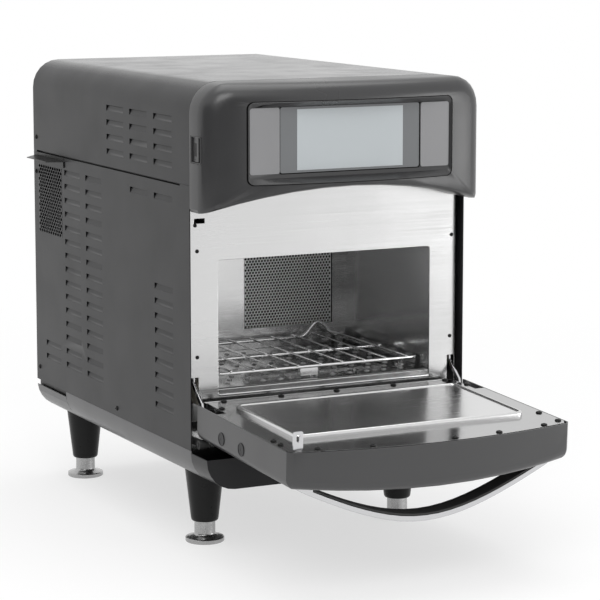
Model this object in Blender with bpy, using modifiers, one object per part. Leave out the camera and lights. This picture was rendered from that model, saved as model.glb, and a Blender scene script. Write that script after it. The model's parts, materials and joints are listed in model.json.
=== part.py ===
"""Speed oven: a countertop oven with a drop-down door, shown with its door open.

Lengths are in metres and +Z is up. X runs across the front, +Y runs to the back, and the bench is Z = 0.
Pieces are placed from the front edge of the cabinet, and one empty moves them all, so that the origin
lies under the middle of the whole object.
"""

import math

import bmesh
import bpy
from mathutils import Matrix, Vector

# Clearances and sheets
GAP = 0.0003
OVERRUN = 0.004
SHEET = 0.0012
THICK_SHEET = 0.0016
JOIN_DEPTH = 0.0024
WELD_DISTANCE = 0.000003
STEP_WELD_DISTANCE = 0.00003
SMOOTH_ANGLE = math.radians(40)
CELL_MIDDLE = 0.5
STAGGER_SHARE = 0.25
ROUNDING_STEPS = 3
PIN_SEGMENTS = 16
SHAFT_SEGMENTS = 12

# Cabinet, measured from the bench and from the front edge of the side sheets
OPENING_WIDTH = 0.3152
SIDE_BAY_WIDTH = 0.0456
BODY_WIDTH = OPENING_WIDTH + 2 * SIDE_BAY_WIDTH
HALF_WIDTH = BODY_WIDTH / 2
BODY_DEPTH = 0.565
BASE_HEIGHT = 0.100
BASE_SIDE_HEIGHT = 0.044
LOWER_SEAM_HEIGHT = BASE_HEIGHT + BASE_SIDE_HEIGHT
CHAMBER_FLOOR_ABOVE_SEAM = 0.075
CHAMBER_FLOOR_HEIGHT = LOWER_SEAM_HEIGHT + CHAMBER_FLOOR_ABOVE_SEAM
OPENING_BELOW_FLOOR = 0.0075
OPENING_HEIGHT = 0.1778
OPENING_BELOW_SEAM = 0.1007
OPENING_BOTTOM = CHAMBER_FLOOR_HEIGHT - OPENING_BELOW_FLOOR
OPENING_TOP = OPENING_BOTTOM + OPENING_HEIGHT
UPPER_SEAM_HEIGHT = OPENING_TOP + OPENING_BELOW_SEAM
SIDE_PANEL_HEIGHT = UPPER_SEAM_HEIGHT - LOWER_SEAM_HEIGHT
SHELL_HEIGHT = 0.132
TOP_HEIGHT = UPPER_SEAM_HEIGHT + SHELL_HEIGHT
CHAMBER_HALF_WIDTH = OPENING_WIDTH / 2
HINGE_BELOW_FLOOR = 0.032
HINGE_HEIGHT = CHAMBER_FLOOR_HEIGHT - HINGE_BELOW_FLOOR
CORNER_RADIUS = 0.040
SHADOW_GAP = 0.003
SHADOW_GAP_START = 0.030
REAR_CAP_LENGTH = 0.118
REAR_CAP_DROP = 0.008
REAR_PANEL_INSET = 0.004

# Louvres stand on a regular grid on the side sheets and the top shell
LOUVRE_LENGTH = 0.060
LOUVRE_HEIGHT = 0.008
LOUVRE_REACH = 0.0024
LOUVRE_SHEET = 0.0008
LOUVRE_COLUMN_START = 0.085
LOUVRE_COLUMNS = 6
LOUVRE_COLUMN_END = 0.072
LOUVRE_COLUMN_PITCH = (BODY_DEPTH - LOUVRE_COLUMN_START - LOUVRE_COLUMN_END) / (LOUVRE_COLUMNS - 1)
SIDE_LOUVRE_BELOW_SEAM = 0.020
SIDE_LOUVRE_ABOVE_BASE = 0.038
SIDE_LOUVRE_COUNT = 15
SIDE_LOUVRE_SPAN = SIDE_PANEL_HEIGHT - SIDE_LOUVRE_BELOW_SEAM - LOUVRE_HEIGHT - SIDE_LOUVRE_ABOVE_BASE
SIDE_LOUVRE_PITCH = SIDE_LOUVRE_SPAN / (SIDE_LOUVRE_COUNT - 1)
TOP_LOUVRE_BELOW_TOP = 0.047
TOP_LOUVRE_COLUMNS = 3
TOP_LOUVRE_ROWS = 4
TOP_LOUVRE_ABOVE_SEAM = 0.017
TOP_LOUVRE_SPAN = SHELL_HEIGHT - TOP_LOUVRE_BELOW_TOP - LOUVRE_HEIGHT - TOP_LOUVRE_ABOVE_SEAM
TOP_LOUVRE_PITCH = TOP_LOUVRE_SPAN / (TOP_LOUVRE_ROWS - 1)
SIDE_LOUVRE_ROWS = {0: range(6, 15), 1: range(0), 3: range(15), 4: range(15), 5: range(13, 15)}
SIDE_LOUVRES_AT_SEAM = (0, 1)

# Perforated side vent and the hood above it
VENT_LENGTH = 0.095
VENT_REAR_MARGIN = 0.0185
VENT_START = BODY_DEPTH - VENT_LENGTH - VENT_REAR_MARGIN
VENT_HEIGHT = 0.100
VENT_BELOW_SEAM = 0.020
VENT_COLUMNS = 5
VENT_ROWS = 6
VENT_HOLE_SHARE = 0.62
VENT_HOLE_SIDES = 4
HOOD_LENGTH = 0.120
HOOD_REAR_MARGIN = 0.004
HOOD_START = BODY_DEPTH - HOOD_LENGTH - HOOD_REAR_MARGIN
HOOD_REACH = 0.024
HOOD_FRONT_LEAN = 0.011
HOOD_REAR_LEAN = 0.031
HOOD_BELOW_SEAM = 0.0085

# Control housing above the door
HOUSING_SIDE_DEPTH = 0.0514
HOUSING_BOW_RADIUS = 0.738
HOUSING_FILLET = 0.021
HOUSING_LOW_FILLET = 0.0065
HOUSING_WALL = 0.0024
HOUSING_ARCH_BELOW_SEAM = 0.0045
HOUSING_ARCH_HEIGHT = UPPER_SEAM_HEIGHT - HOUSING_ARCH_BELOW_SEAM
HOUSING_ARCH_RADIUS = 0.683
HOUSING_LOWER_CORNER = 0.006
HOUSING_CORNER_SHARE = 0.3
HOUSING_TOP_SHARES = (0.75, 0.5, 0.25, 0, -0.25, -0.5, -0.75)
HOUSING_LOW_SHARES = (-0.96, -0.8, -0.62, -0.42, -0.21, 0, 0.21, 0.42, 0.62, 0.8, 0.96)
SIDE_SHARES = (0.33, 0.66)
POCKET_SIDE_MARGIN = 0.0557
POCKET_ABOVE_SEAM = 0.0038
POCKET_BELOW_TOP = 0.0251
POCKET_WIDTH = BODY_WIDTH - 2 * POCKET_SIDE_MARGIN
POCKET_BOTTOM = UPPER_SEAM_HEIGHT + POCKET_ABOVE_SEAM
POCKET_TOP = TOP_HEIGHT - POCKET_BELOW_TOP
POCKET_CORNER = 0.008
POCKET_RIM = 0.0015
POCKET_SLOPE = 0.006
GLASS_SIDE_MARGIN = 0.0455
GLASS_LOW_MARGIN = 0.0114
GLASS_HIGH_MARGIN = 0.0061
GLASS_WIDTH = POCKET_WIDTH - 2 * GLASS_SIDE_MARGIN
GLASS_BOTTOM = POCKET_BOTTOM + GLASS_LOW_MARGIN
GLASS_TOP = POCKET_TOP - GLASS_HIGH_MARGIN
GLASS_CORNER = 0.003
GLASS_THICKNESS = 0.003
GLASS_SETBACK = 0.0558
DISPLAY_SIDE_MARGIN = 0.025
DISPLAY_EDGE_MARGIN = 0.0038
DISPLAY_WIDTH = GLASS_WIDTH - 2 * DISPLAY_SIDE_MARGIN
DISPLAY_HEIGHT = GLASS_TOP - GLASS_BOTTOM - 2 * DISPLAY_EDGE_MARGIN
DISPLAY_THICKNESS = 0.006
BOARD_WIDTH = 0.240
BOARD_HEIGHT = 0.080
BOARD_THICKNESS = 0.0016
BOARD_CHIP = 0.018
BOARD_CHIP_HEIGHT = 0.004
BOARD_CHIP_PLACES = (-0.32, -0.05, 0.25)
USB_NOTCH_LENGTH = 0.029
USB_NOTCH_HEIGHT = 0.035
USB_NOTCH_DEPTH = 0.008
USB_NOTCH_START = 0.005
USB_NOTCH_BELOW_TOP = 0.085
USB_NOTCH_CENTRE_HEIGHT = TOP_HEIGHT - USB_NOTCH_BELOW_TOP
USB_SOCKET_LENGTH = 0.006
USB_SOCKET_HEIGHT = 0.014
USB_SOCKET_SETBACK = 0.009
USB_PORT_DEPTH = 0.014

# Lower front cap
CAP_DEPTH = 0.050
CAP_BELOW_SEAM = 0.003
CAP_TOP_HEIGHT = LOWER_SEAM_HEIGHT - CAP_BELOW_SEAM

# Stainless front and the oven opening
FASCIA_SETBACK = 0.0123
FASCIA_SIDE_MARGIN = 0.005
FASCIA_TOP_MARGIN = 0.004
OPENING_CORNER = 0.004
LATCH_SLOT_WIDTH = 0.0145
LATCH_SLOT_HEIGHT = 0.006
ARM_SLOT_WIDTH = 0.0105
ARM_SLOT_BELOW_HINGE = 0.007
ARM_SLOT_ABOVE_HINGE = 0.050
ARM_SLOT_SIDE_MARGIN = 0.0117
ARM_SLOT_BOTTOM = HINGE_HEIGHT - ARM_SLOT_BELOW_HINGE
ARM_SLOT_TOP = HINGE_HEIGHT + ARM_SLOT_ABOVE_HINGE
ARM_SLOT_FROM_CENTRE = HALF_WIDTH - ARM_SLOT_SIDE_MARGIN

# Interlock switch, hidden behind the latch slot
SWITCH_WIDTH = 0.024
SWITCH_HEIGHT = 0.034
SWITCH_DEPTH = 0.032
SWITCH_SLOT_DEPTH = 0.022

# Cooking chamber
CHAMBER_DEPTH = 0.2445
CHAMBER_TOP_MARGIN = 0.0035
SILL_DEPTH = 0.016
GRILLE_WIDTH = 0.141
GRILLE_LOW_SHARE = 0.2165
GRILLE_HIGH_SHARE = 0.8352
GRILLE_FROM_CORNER = 0.0909
GRILLE_BOTTOM = OPENING_BOTTOM + GRILLE_LOW_SHARE * OPENING_HEIGHT
GRILLE_TOP = OPENING_BOTTOM + GRILLE_HIGH_SHARE * OPENING_HEIGHT
GRILLE_CENTRE_X = CHAMBER_HALF_WIDTH - GRILLE_FROM_CORNER
GRILLE_FRAME = 0.006
GRILLE_COLUMNS = 8
GRILLE_ROWS = 7
GRILLE_HOLE_SHARE = 0.64
GRILLE_HOLE_SIDES = 6
FLOOR_PLATE_MARGIN = 0.002
JET_PLATE_MARGIN = 0.006
JET_SLOT_COUNT = 7
JET_SLOT_WIDTH = 0.006
JET_SLOT_LENGTH_SHARE = 0.72
INSULATION_THICKNESS = 0.020
INSULATION_DEPTH_SHARE = 0.9

# Rack and its rails
RACK_SIDE_CLEARANCE = 0.0116
RACK_ABOVE_FLOOR = 0.019
RACK_HALF_WIDTH = CHAMBER_HALF_WIDTH - RACK_SIDE_CLEARANCE
RACK_FRONT = 0.032
RACK_LENGTH = 0.212
RACK_MIDDLE = 0.098
RACK_HEIGHT = CHAMBER_FLOOR_HEIGHT + RACK_ABOVE_FLOOR
RACK_FRAME_WIRE = 0.0025
RACK_WIRE = 0.0015
RACK_WIRE_COUNT = 9
WIRE_WELD = 0.0010
RACK_END_MARGIN = 0.014
RACK_LOOP_RISE = 0.020
RACK_LOOP_STEPS = 8
RACK_LOOP_HALF_WIDTH = 0.028
RACK_LOOP_FROM_END = 0.0395
RACK_LOOP_CENTRE_X = RACK_HALF_WIDTH - RACK_LOOP_FROM_END
RACK_TAG_WIDTH = 0.026
RACK_TAG_HEIGHT = 0.009
RACK_TAG_CENTRE_X = -0.0155
RACK_WIRE_RING = 8
RAIL_SIDE_CLEARANCE = 0.0146
RAIL_HALF_SPACING = CHAMBER_HALF_WIDTH - RAIL_SIDE_CLEARANCE
RAIL_WIDTH = 0.006
RAIL_LENGTH = 0.194
RAIL_START = 0.056
RAIL_FOOT_LENGTH = 0.012

# Door, drawn closed from its hinge line
HINGE_SETBACK = -0.015
DOOR_OPEN_ANGLE = math.radians(92.4)
DOOR_SIDE_CLEARANCE = 0.00395
DOOR_BELOW_SEAM = 0.0415
DOOR_WIDTH = BODY_WIDTH - 2 * DOOR_SIDE_CLEARANCE
DOOR_BELOW_HINGE = 0.009
DOOR_ABOVE_HINGE = UPPER_SEAM_HEIGHT - HINGE_HEIGHT - DOOR_BELOW_SEAM
DOOR_ARCH_RISE = 0.025
DOOR_INNER_FACE = 0.0196
DOOR_SIDE_THICKNESS = 0.0395
DOOR_BOW_DEPTH = 0.0080
DOOR_FILLET = 0.012
DOOR_BOW_RISE = 0.009766
DOOR_BOW_HALF = DOOR_WIDTH / 2 - DOOR_FILLET
DOOR_BOW_RADIUS = (DOOR_BOW_HALF**2 + DOOR_BOW_RISE**2) / (2 * DOOR_BOW_RISE)
DOOR_WALL = 0.0015
DOOR_CORNER = 0.006
DOOR_TOP_SHARES = (0.97, 0.85, 0.7, 0.5, 0.25, 0, -0.25, -0.5, -0.7, -0.85, -0.97)
DOOR_LOW_SHARES = (-0.8, -0.6, -0.3, 0, 0.3, 0.6, 0.8)
DOOR_SIDE_SHARES = (0.25, 0.5, 0.75)
DOOR_FACE_SHARES = (0.6, 0.25)
HINGE_NOTCH_WIDTH = 0.0138
HINGE_NOTCH_ABOVE = 0.052
HINGE_NOTCH_DROP = 0.0092
HINGE_CHEEK_DEPTH = 0.030
CHOKE_SIDE_OVERLAP = 0.0064
CHOKE_LOW_SETBACK = 0.0075
CHOKE_HIGH_OVERLAP = 0.0067
CHOKE_WIDTH = OPENING_WIDTH + 2 * CHOKE_SIDE_OVERLAP
CHOKE_BOTTOM = OPENING_BOTTOM - HINGE_HEIGHT + CHOKE_LOW_SETBACK
CHOKE_TOP = OPENING_TOP - HINGE_HEIGHT + CHOKE_HIGH_OVERLAP
CHOKE_HEIGHT = 0.006
CHOKE_RIM = 0.007
CHOKE_DISH = 0.0012
TAB_WIDTH = 0.013
TAB_REACH = 0.024
TAB_THICKNESS = 0.0025
TAB_FROM_SIDE = 0.0192
TAB_BELOW_DOOR_TOP = 0.0065
TAB_CENTRE_X = TAB_FROM_SIDE - HALF_WIDTH
TAB_ABOVE_HINGE = DOOR_ABOVE_HINGE - TAB_BELOW_DOOR_TOP
TAB_CORNER = 0.00325
TAB_HOLE_WIDTH = 0.005
TAB_HOLE_HEIGHT = 0.009

# Handle, a bowed bar in front of the door
HANDLE_BELOW_DOOR_TOP = 0.0255
HANDLE_FROM_SIDE = 0.02325
HANDLE_LINER_INSET = 0.018
HANDLE_ABOVE_HINGE = DOOR_ABOVE_HINGE - HANDLE_BELOW_DOOR_TOP
HANDLE_HALF_SPAN = DOOR_WIDTH / 2 - HANDLE_FROM_SIDE
HANDLE_LINER_HALF_SPAN = HANDLE_HALF_SPAN - HANDLE_LINER_INSET
HANDLE_REACH = 0.0796
HANDLE_BOW = 0.0716
HANDLE_BOW_SHARE = 0.6818
HANDLE_BOW_LENGTH = HANDLE_HALF_SPAN * HANDLE_BOW_SHARE
HANDLE_THICKNESS = 0.0075
HANDLE_LINER = 0.0025
HANDLE_DEPTH = 0.024
HANDLE_STEPS = 18

# Hinge arms, pins and door stops
ARM_THICKNESS = 0.003
ARM_SIDE_MARGIN = 0.0112
ARM_FROM_CENTRE = HALF_WIDTH - ARM_SIDE_MARGIN
ARM_EYE_RADIUS = 0.0058
ARM_EYE_STEPS = 14
ARM_WIDTH = 0.0060
ARM_ELBOW_ABOVE_HINGE = 0.0195
ARM_ELBOW = (-0.0095, HINGE_HEIGHT + ARM_ELBOW_ABOVE_HINGE)
ARM_BEND_ABOVE_HINGE = 0.0430
ARM_SLOT_POINT = (0.0172, HINGE_HEIGHT + ARM_BEND_ABOVE_HINGE)
ARM_END_ABOVE_HINGE = 0.0750
ARM_END = (0.0172, HINGE_HEIGHT + ARM_END_ABOVE_HINGE)
PIN_RADIUS = 0.0025
PIN_CLEARANCE = 0.0004
STOP_SETBACK = -0.0120
STOP_ABOVE_CAP = 0.013
STOP_HEIGHT = CAP_TOP_HEIGHT + STOP_ABOVE_CAP
STOP_RADIUS = 0.0060
STOP_WIDTH = 0.012
STOP_PIN_RADIUS = 0.0025
STOP_PIN_REACH = 0.0015
STOP_FROM_CENTRE = ARM_FROM_CENTRE
STOP_ARM_WIDTH = 0.008
STOP_ARM_THICKNESS = 0.006

# Legs and feet
LEG_SIDE_MARGIN = 0.0557
LEG_REAR_MARGIN = 0.0506
LEG_FROM_CENTRE = HALF_WIDTH - LEG_SIDE_MARGIN
LEG_FRONT = 0.0808
LEG_REAR = BODY_DEPTH - LEG_REAR_MARGIN
LEG_TOP_RADIUS = 0.0262
LEG_BOTTOM_RADIUS = 0.0182
LEG_BOTTOM_HEIGHT = 0.029
FOOT_STEM_RADIUS = 0.0141
FOOT_STEM_CLEARANCE = 0.0004
FOOT_FLANGE_RADIUS = 0.0262
FOOT_FLANGE_HEIGHT = 0.006
FOOT_STEM_INSIDE = 0.026
FOOT_RISE = 0.020
LEG_BORE_EXTRA = 0.001
ROUND_SEGMENTS = 20
CORNER_STEPS = 6
FILLET_STEPS = 4

# Air system
BLOWER_RADIUS = 0.052
BLOWER_DEPTH = 0.040
BLOWER_BLADES = 14
BLOWER_BLADE_DEPTH = 0.012
BLOWER_BLADE_THICKNESS = 0.0012
BLOWER_BLADE_ANGLE = math.radians(35)
BLOWER_PLATE = 0.002
BLADE_SHARE = 0.7
BLOWER_SETBACK = 0.012
MOTOR_RADIUS = 0.042
MOTOR_LENGTH = 0.070
MOTOR_SHAFT_RADIUS = 0.005
MOTOR_STANDOFF = 0.016
HEATER_RADIUS = 0.0670
HEATER_TUBE = 0.0032
HEATER_TURNS = 2
HEATER_PITCH = 0.012
HEATER_STEPS = 20
CATALYST_WIDTH = 0.120
CATALYST_HEIGHT = 0.012
CATALYST_DEPTH = 0.050
CATALYST_SLOTS = 6
CATALYST_SLOT_SHARE = 0.5
CATALYST_END_SHARE = 0.125

# Microwave system
MAGNETRON_WIDTH = 0.080
MAGNETRON_DEPTH = 0.070
MAGNETRON_HEIGHT = 0.060
MAGNETRON_FINS = 5
MAGNETRON_FIN_REACH = 0.006
MAGNETRON_FIN_THICKNESS = 0.0015
MAGNETRON_FROM_SIDE = 0.0832
MAGNETRON_X = MAGNETRON_FROM_SIDE - HALF_WIDTH
MAGNETRON_Y = 0.345
WAVEGUIDE_WIDTH = 0.080
WAVEGUIDE_HEIGHT = 0.038
WAVEGUIDE_LENGTH = 0.190
STIRRER_RADIUS = 0.030
STIRRER_BLADES = 3
STIRRER_BLADE_WIDTH = 0.014
STIRRER_BLADE_THICKNESS = 0.0015
STIRRER_MOTOR_RADIUS = 0.022
STIRRER_MOTOR_HEIGHT = 0.020
TRANSFORMER_WIDTH = 0.110
TRANSFORMER_DEPTH = 0.090
TRANSFORMER_HEIGHT = 0.085
TRANSFORMER_FROM_SIDE = 0.0932
TRANSFORMER_FROM_REAR = 0.095
TRANSFORMER_X = TRANSFORMER_FROM_SIDE - HALF_WIDTH
TRANSFORMER_Y = BODY_DEPTH - TRANSFORMER_FROM_REAR
COIL_REACH = 0.010
COIL_HEIGHT = TRANSFORMER_HEIGHT / 2
CAPACITOR_RADIUS = 0.022
CAPACITOR_HEIGHT = 0.090
CAPACITOR_X = 0.000
CAPACITOR_FROM_REAR = 0.065
CAPACITOR_Y = BODY_DEPTH - CAPACITOR_FROM_REAR

# Rear panel, cooling fan and power gland
FAN_FROM_SIDE = 0.1132
FAN_X = HALF_WIDTH - FAN_FROM_SIDE
FAN_ABOVE_FLOOR = 0.111
FAN_HEIGHT = CHAMBER_FLOOR_HEIGHT + FAN_ABOVE_FLOOR
FAN_RADIUS = 0.054
FAN_HUB_RADIUS = 0.020
FAN_DEPTH = 0.022
FAN_FRAME = 0.062
FAN_FRAME_DEPTH = 0.028
FAN_BLADES = 7
FAN_BLADE_THICKNESS = 0.0015
FAN_TIP_CLEARANCE = 0.002
FAN_BAR_CLEARANCE = 0.0009
FAN_BAR_TURNS = (math.radians(20), math.radians(110))
REAR_SLOT_COUNT = 9
REAR_SLOT_PITCH = 0.012
REAR_SLOT_HEIGHT = 0.006
REAR_SLOT_LENGTH = 0.104
GLAND_FROM_SIDE = 0.0632
GLAND_X = GLAND_FROM_SIDE - HALF_WIDTH
GLAND_ABOVE_BASE = 0.090
GLAND_HEIGHT = BASE_HEIGHT + GLAND_ABOVE_BASE
GLAND_RADIUS = 0.014
GLAND_NUT_RADIUS = 0.017
GLAND_NUT_DEPTH = 0.006
GLAND_REACH = 0.016
GLAND_BORE_RADIUS = 0.0075

CHAMBER_START = FASCIA_SETBACK + THICK_SHEET + GAP
CHAMBER_END = CHAMBER_START + CHAMBER_DEPTH
DUCT_START = CHAMBER_END + THICK_SHEET + SHEET + 2 * GAP
CHAMBER_TOP = OPENING_TOP + CHAMBER_TOP_MARGIN
DOOR_HALF_WIDTH = DOOR_WIDTH / 2
DOOR_OUTER_FACE = DOOR_INNER_FACE - DOOR_SIDE_THICKNESS
DOOR_TOP_REACH = (DOOR_ABOVE_HINGE + DOOR_ARCH_RISE) * math.sin(DOOR_OPEN_ANGLE)
DOOR_FRONT_REACH = DOOR_TOP_REACH - DOOR_INNER_FACE * math.cos(DOOR_OPEN_ANGLE) - HINGE_SETBACK
REAR_REACH = BODY_DEPTH + GLAND_REACH

MATERIALS = {
    "black_paint": ((0.060, 0.060, 0.064), 0.45, 0.0),
    "base_paint": ((0.120, 0.120, 0.125), 0.45, 0.0),
    "housing_plastic": ((0.040, 0.040, 0.043), 0.35, 0.0),
    "stainless": ((0.72, 0.72, 0.72), 0.28, 1.0),
    "dark_stainless": ((0.38, 0.38, 0.39), 0.32, 1.0),
    "chrome": ((0.85, 0.85, 0.86), 0.10, 1.0),
    "glass": ((0.03, 0.03, 0.035), 0.08, 0.0),
    "display": ((0.62, 0.66, 0.68), 0.30, 0.0),
    "board": ((0.03, 0.16, 0.08), 0.55, 0.0),
    "rubber": ((0.02, 0.02, 0.02), 0.75, 0.0),
    "cast": ((0.05, 0.05, 0.052), 0.50, 0.2),
    "wool": ((0.78, 0.74, 0.62), 0.95, 0.0),
    "motor_steel": ((0.30, 0.31, 0.33), 0.40, 1.0),
    "copper": ((0.72, 0.38, 0.20), 0.35, 1.0),
    "ceramic": ((0.70, 0.66, 0.58), 0.80, 0.0),
}


def clear_scene():
    """Removes every object, so that the script starts from nothing."""
    for item in list(bpy.data.objects):
        bpy.data.objects.remove(item, do_unlink=True)


def make_collection(name):
    """Makes a collection of this name in the scene."""
    made = bpy.data.collections.new(name)
    bpy.context.scene.collection.children.link(made)
    return made


def make_material(name):
    """Makes a Principled material from the table above."""
    colour, roughness, metallic = MATERIALS[name]
    made = bpy.data.materials.new(name)
    made.use_nodes = True
    shader = made.node_tree.nodes["Principled BSDF"]
    shader.inputs["Base Color"].default_value = (*colour, 1)
    shader.inputs["Roughness"].default_value = roughness
    shader.inputs["Metallic"].default_value = metallic
    return made


def make_empty(name, location, parent=None, turn=0):
    """Makes an empty that carries pieces, turned about X."""
    made = bpy.data.objects.new(name, None)
    made.location = location
    made.rotation_euler = (turn, 0, 0)
    made.parent = parent
    PARTS.objects.link(made)
    return made


clear_scene()
PARTS = make_collection("speed_oven")
CUTTERS = make_collection("speed_oven_cutters")
ORIGIN_SHIFT = (DOOR_FRONT_REACH - REAR_REACH) / 2
ROOT = make_empty("oven_origin", (0, ORIGIN_SHIFT, 0))
DOOR_PIVOT = make_empty("door_pivot", (0, HINGE_SETBACK, HINGE_HEIGHT), ROOT, DOOR_OPEN_ANGLE)
FINISHES = {key: make_material(key) for key in MATERIALS}


def add(name, data, finish, parent=None, location=(0, 0, 0), turn=(0, 0, 0)):
    """Adds a piece with its own copy of a finish."""
    made = bpy.data.objects.new(name, data)
    made.parent = parent or ROOT
    made.location = location
    made.rotation_euler = turn
    material = FINISHES[finish].copy()
    material.name = name
    data.materials.clear()
    data.materials.append(material)
    PARTS.objects.link(made)
    return made


def mesh_from(shape, name):
    """Turns a bmesh into mesh data and frees it."""
    data = bpy.data.meshes.new(name)
    shape.to_mesh(data)
    shape.free()
    return data


def grow_box(shape, low, high, turn=None):
    """Adds a box between two corners to a bmesh, turned about its own middle."""
    size = [b - a for a, b in zip(low, high)]
    middle = [(a + b) / 2 for a, b in zip(low, high)]
    place = Matrix.Translation(middle) @ (turn or Matrix()) @ Matrix.Diagonal((*size, 1))
    bmesh.ops.create_cube(shape, size=1, matrix=place)


def grow_rod(shape, start, end, radius, segments=ROUND_SEGMENTS, end_radius=None):
    """Adds a round rod or cone from one point to another to a bmesh."""
    start, end = Vector(start), Vector(end)
    run = end - start
    place = Matrix.Translation((start + end) / 2) @ run.to_track_quat("Z", "Y").to_matrix().to_4x4()
    bmesh.ops.create_cone(
        shape,
        cap_ends=True,
        segments=segments,
        radius1=radius,
        radius2=radius if end_radius is None else end_radius,
        depth=run.length,
        matrix=place,
    )


def boxes(name, corners, finish, parent=None):
    """Makes a piece from boxes that are given by their corners."""
    shape = bmesh.new()
    for low, high in corners:
        grow_box(shape, low, high)
    return add(name, mesh_from(shape, name), finish, parent)


def rods(name, runs, finish, parent=None, segments=ROUND_SEGMENTS):
    """Makes a piece from rods that are given by start, end and radius."""
    shape = bmesh.new()
    for start, end, radius in runs:
        grow_rod(shape, start, end, radius, segments)
    made = add(name, mesh_from(shape, name), finish, parent)
    shade_round(made)
    return made


def shade_round(piece, angle=SMOOTH_ANGLE):
    """Shades a round piece smooth and keeps its sharp edges."""
    piece.data.shade_smooth()
    piece.data.set_sharp_from_angle(angle=angle)


def use_tool(piece, tool, operation="DIFFERENCE", solver="EXACT", crossing=True):
    """Cuts or joins a piece with a hidden tool, whose own bodies may cross one another."""
    PARTS.objects.unlink(tool)
    CUTTERS.objects.link(tool)
    tool.hide_render = True
    tool.display_type = "WIRE"
    step = piece.modifiers.new(operation.lower(), "BOOLEAN")
    step.operation = operation
    step.solver = solver
    step.use_self = crossing
    step.object = tool


def round_edges(piece, width, segments=2, angle=SMOOTH_ANGLE):
    """Rounds the sharp edges of a piece."""
    step = piece.modifiers.new("rounding", "BEVEL")
    step.width = width
    step.segments = segments
    step.limit_method = "ANGLE"
    step.angle_limit = angle


def thicken(piece, thickness, offset=-1):
    """Gives an open surface the thickness of its sheet, on the inner side."""
    step = piece.modifiers.new("sheet", "SOLIDIFY")
    step.thickness = thickness
    step.offset = offset
    step.use_even_offset = True


def arc(centre, radius, start, end, steps):
    """Points on an arc, from one angle in degrees to another."""
    turns = [math.radians(start + (end - start) * i / steps) for i in range(steps + 1)]
    return [(centre[0] + radius * math.cos(t), centre[1] + radius * math.sin(t)) for t in turns]


def rounded_rectangle(left, bottom, right, top, radius, steps=ROUNDING_STEPS):
    """The closed outline of a rectangle with round corners."""
    return [
        *arc((right - radius, top - radius), radius, 0, 90, steps),
        *arc((left + radius, top - radius), radius, 90, 180, steps),
        *arc((left + radius, bottom + radius), radius, 180, 270, steps),
        *arc((right - radius, bottom + radius), radius, 270, 360, steps),
    ]


def rectangle(left, bottom, right, top):
    """The closed outline of a rectangle."""
    return [(left, bottom), (right, bottom), (right, top), (left, top)]


def ring(centre, radius, sides, start=0):
    """The closed outline of a regular polygon."""
    return arc(centre, radius, start, start + 360 * (sides - 1) / sides, sides - 1)


FACING_FRONT = (math.pi / 2, 0, 0)
FACING_SIDE = (math.pi / 2, 0, math.pi / 2)


def outline_data(name, outlines, thickness):
    """A flat 2D curve of closed outlines: the first is the edge, the others are its holes."""
    data = bpy.data.curves.new(name, "CURVE")
    data.dimensions = "2D"
    data.fill_mode = "BOTH"
    data.extrude = thickness / 2
    data.resolution_u = 1
    data.render_resolution_u = 0
    for outline in outlines:
        spline = data.splines.new("POLY")
        spline.points.add(len(outline) - 1)
        for point, (across, up) in zip(spline.points, outline):
            point.co = (across, up, 0, 1)
        spline.use_cyclic_u = True
    return data


def plate(name, outlines, thickness, finish, middle, turn=(0, 0, 0), parent=None):
    """Makes a flat plate from closed outlines, with its mid-plane at a place."""
    return add(name, outline_data(name, outlines, thickness), finish, parent, middle, turn)


def as_mesh(piece):
    """Swaps a curve piece for a welded mesh piece of the same name, so that it can be cut."""
    bpy.context.view_layer.update()
    settled = piece.evaluated_get(bpy.context.evaluated_depsgraph_get())
    data = bpy.data.meshes.new_from_object(settled)
    shape = bmesh.new()
    shape.from_mesh(data)
    bmesh.ops.remove_doubles(shape, verts=shape.verts, dist=WELD_DISTANCE)
    bmesh.ops.recalc_face_normals(shape, faces=shape.faces)
    shape.to_mesh(data)
    shape.free()
    name = piece.name
    place = piece.matrix_world.copy()
    parent = piece.parent
    bpy.data.objects.remove(piece, do_unlink=True)
    made = bpy.data.objects.new(name, data)
    PARTS.objects.link(made)
    made.parent = parent
    made.matrix_parent_inverse = Matrix()
    bpy.context.view_layer.update()
    made.matrix_world = place
    return made


def bent_sheet(name, outline, start, end, thickness, finish, parent=None):
    """Runs an open outline in X and Z along Y and gives it the thickness of a sheet."""
    shape = bmesh.new()
    points = [shape.verts.new((x, start, z)) for x, z in outline]
    edges = [shape.edges.new(pair) for pair in zip(points, points[1:])]
    grown = bmesh.ops.extrude_edge_only(shape, edges=edges)["geom"]
    far = [item for item in grown if isinstance(item, bmesh.types.BMVert)]
    bmesh.ops.translate(shape, vec=(0, end - start, 0), verts=far)
    face_away(shape)
    made = add(name, mesh_from(shape, name), finish, parent)
    thicken(made, thickness)
    shade_round(made)
    return made


def face_away(shape):
    """Turns all faces of an open surface to look away from its middle."""
    bmesh.ops.recalc_face_normals(shape, faces=shape.faces)
    middle = sum((v.co for v in shape.verts), Vector()) / len(shape.verts)
    shape.faces.ensure_lookup_table()
    outward = sum((f.calc_center_median() - middle).dot(f.normal) * f.calc_area() for f in shape.faces)
    if outward < 0:
        bmesh.ops.reverse_faces(shape, faces=shape.faces)


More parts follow.
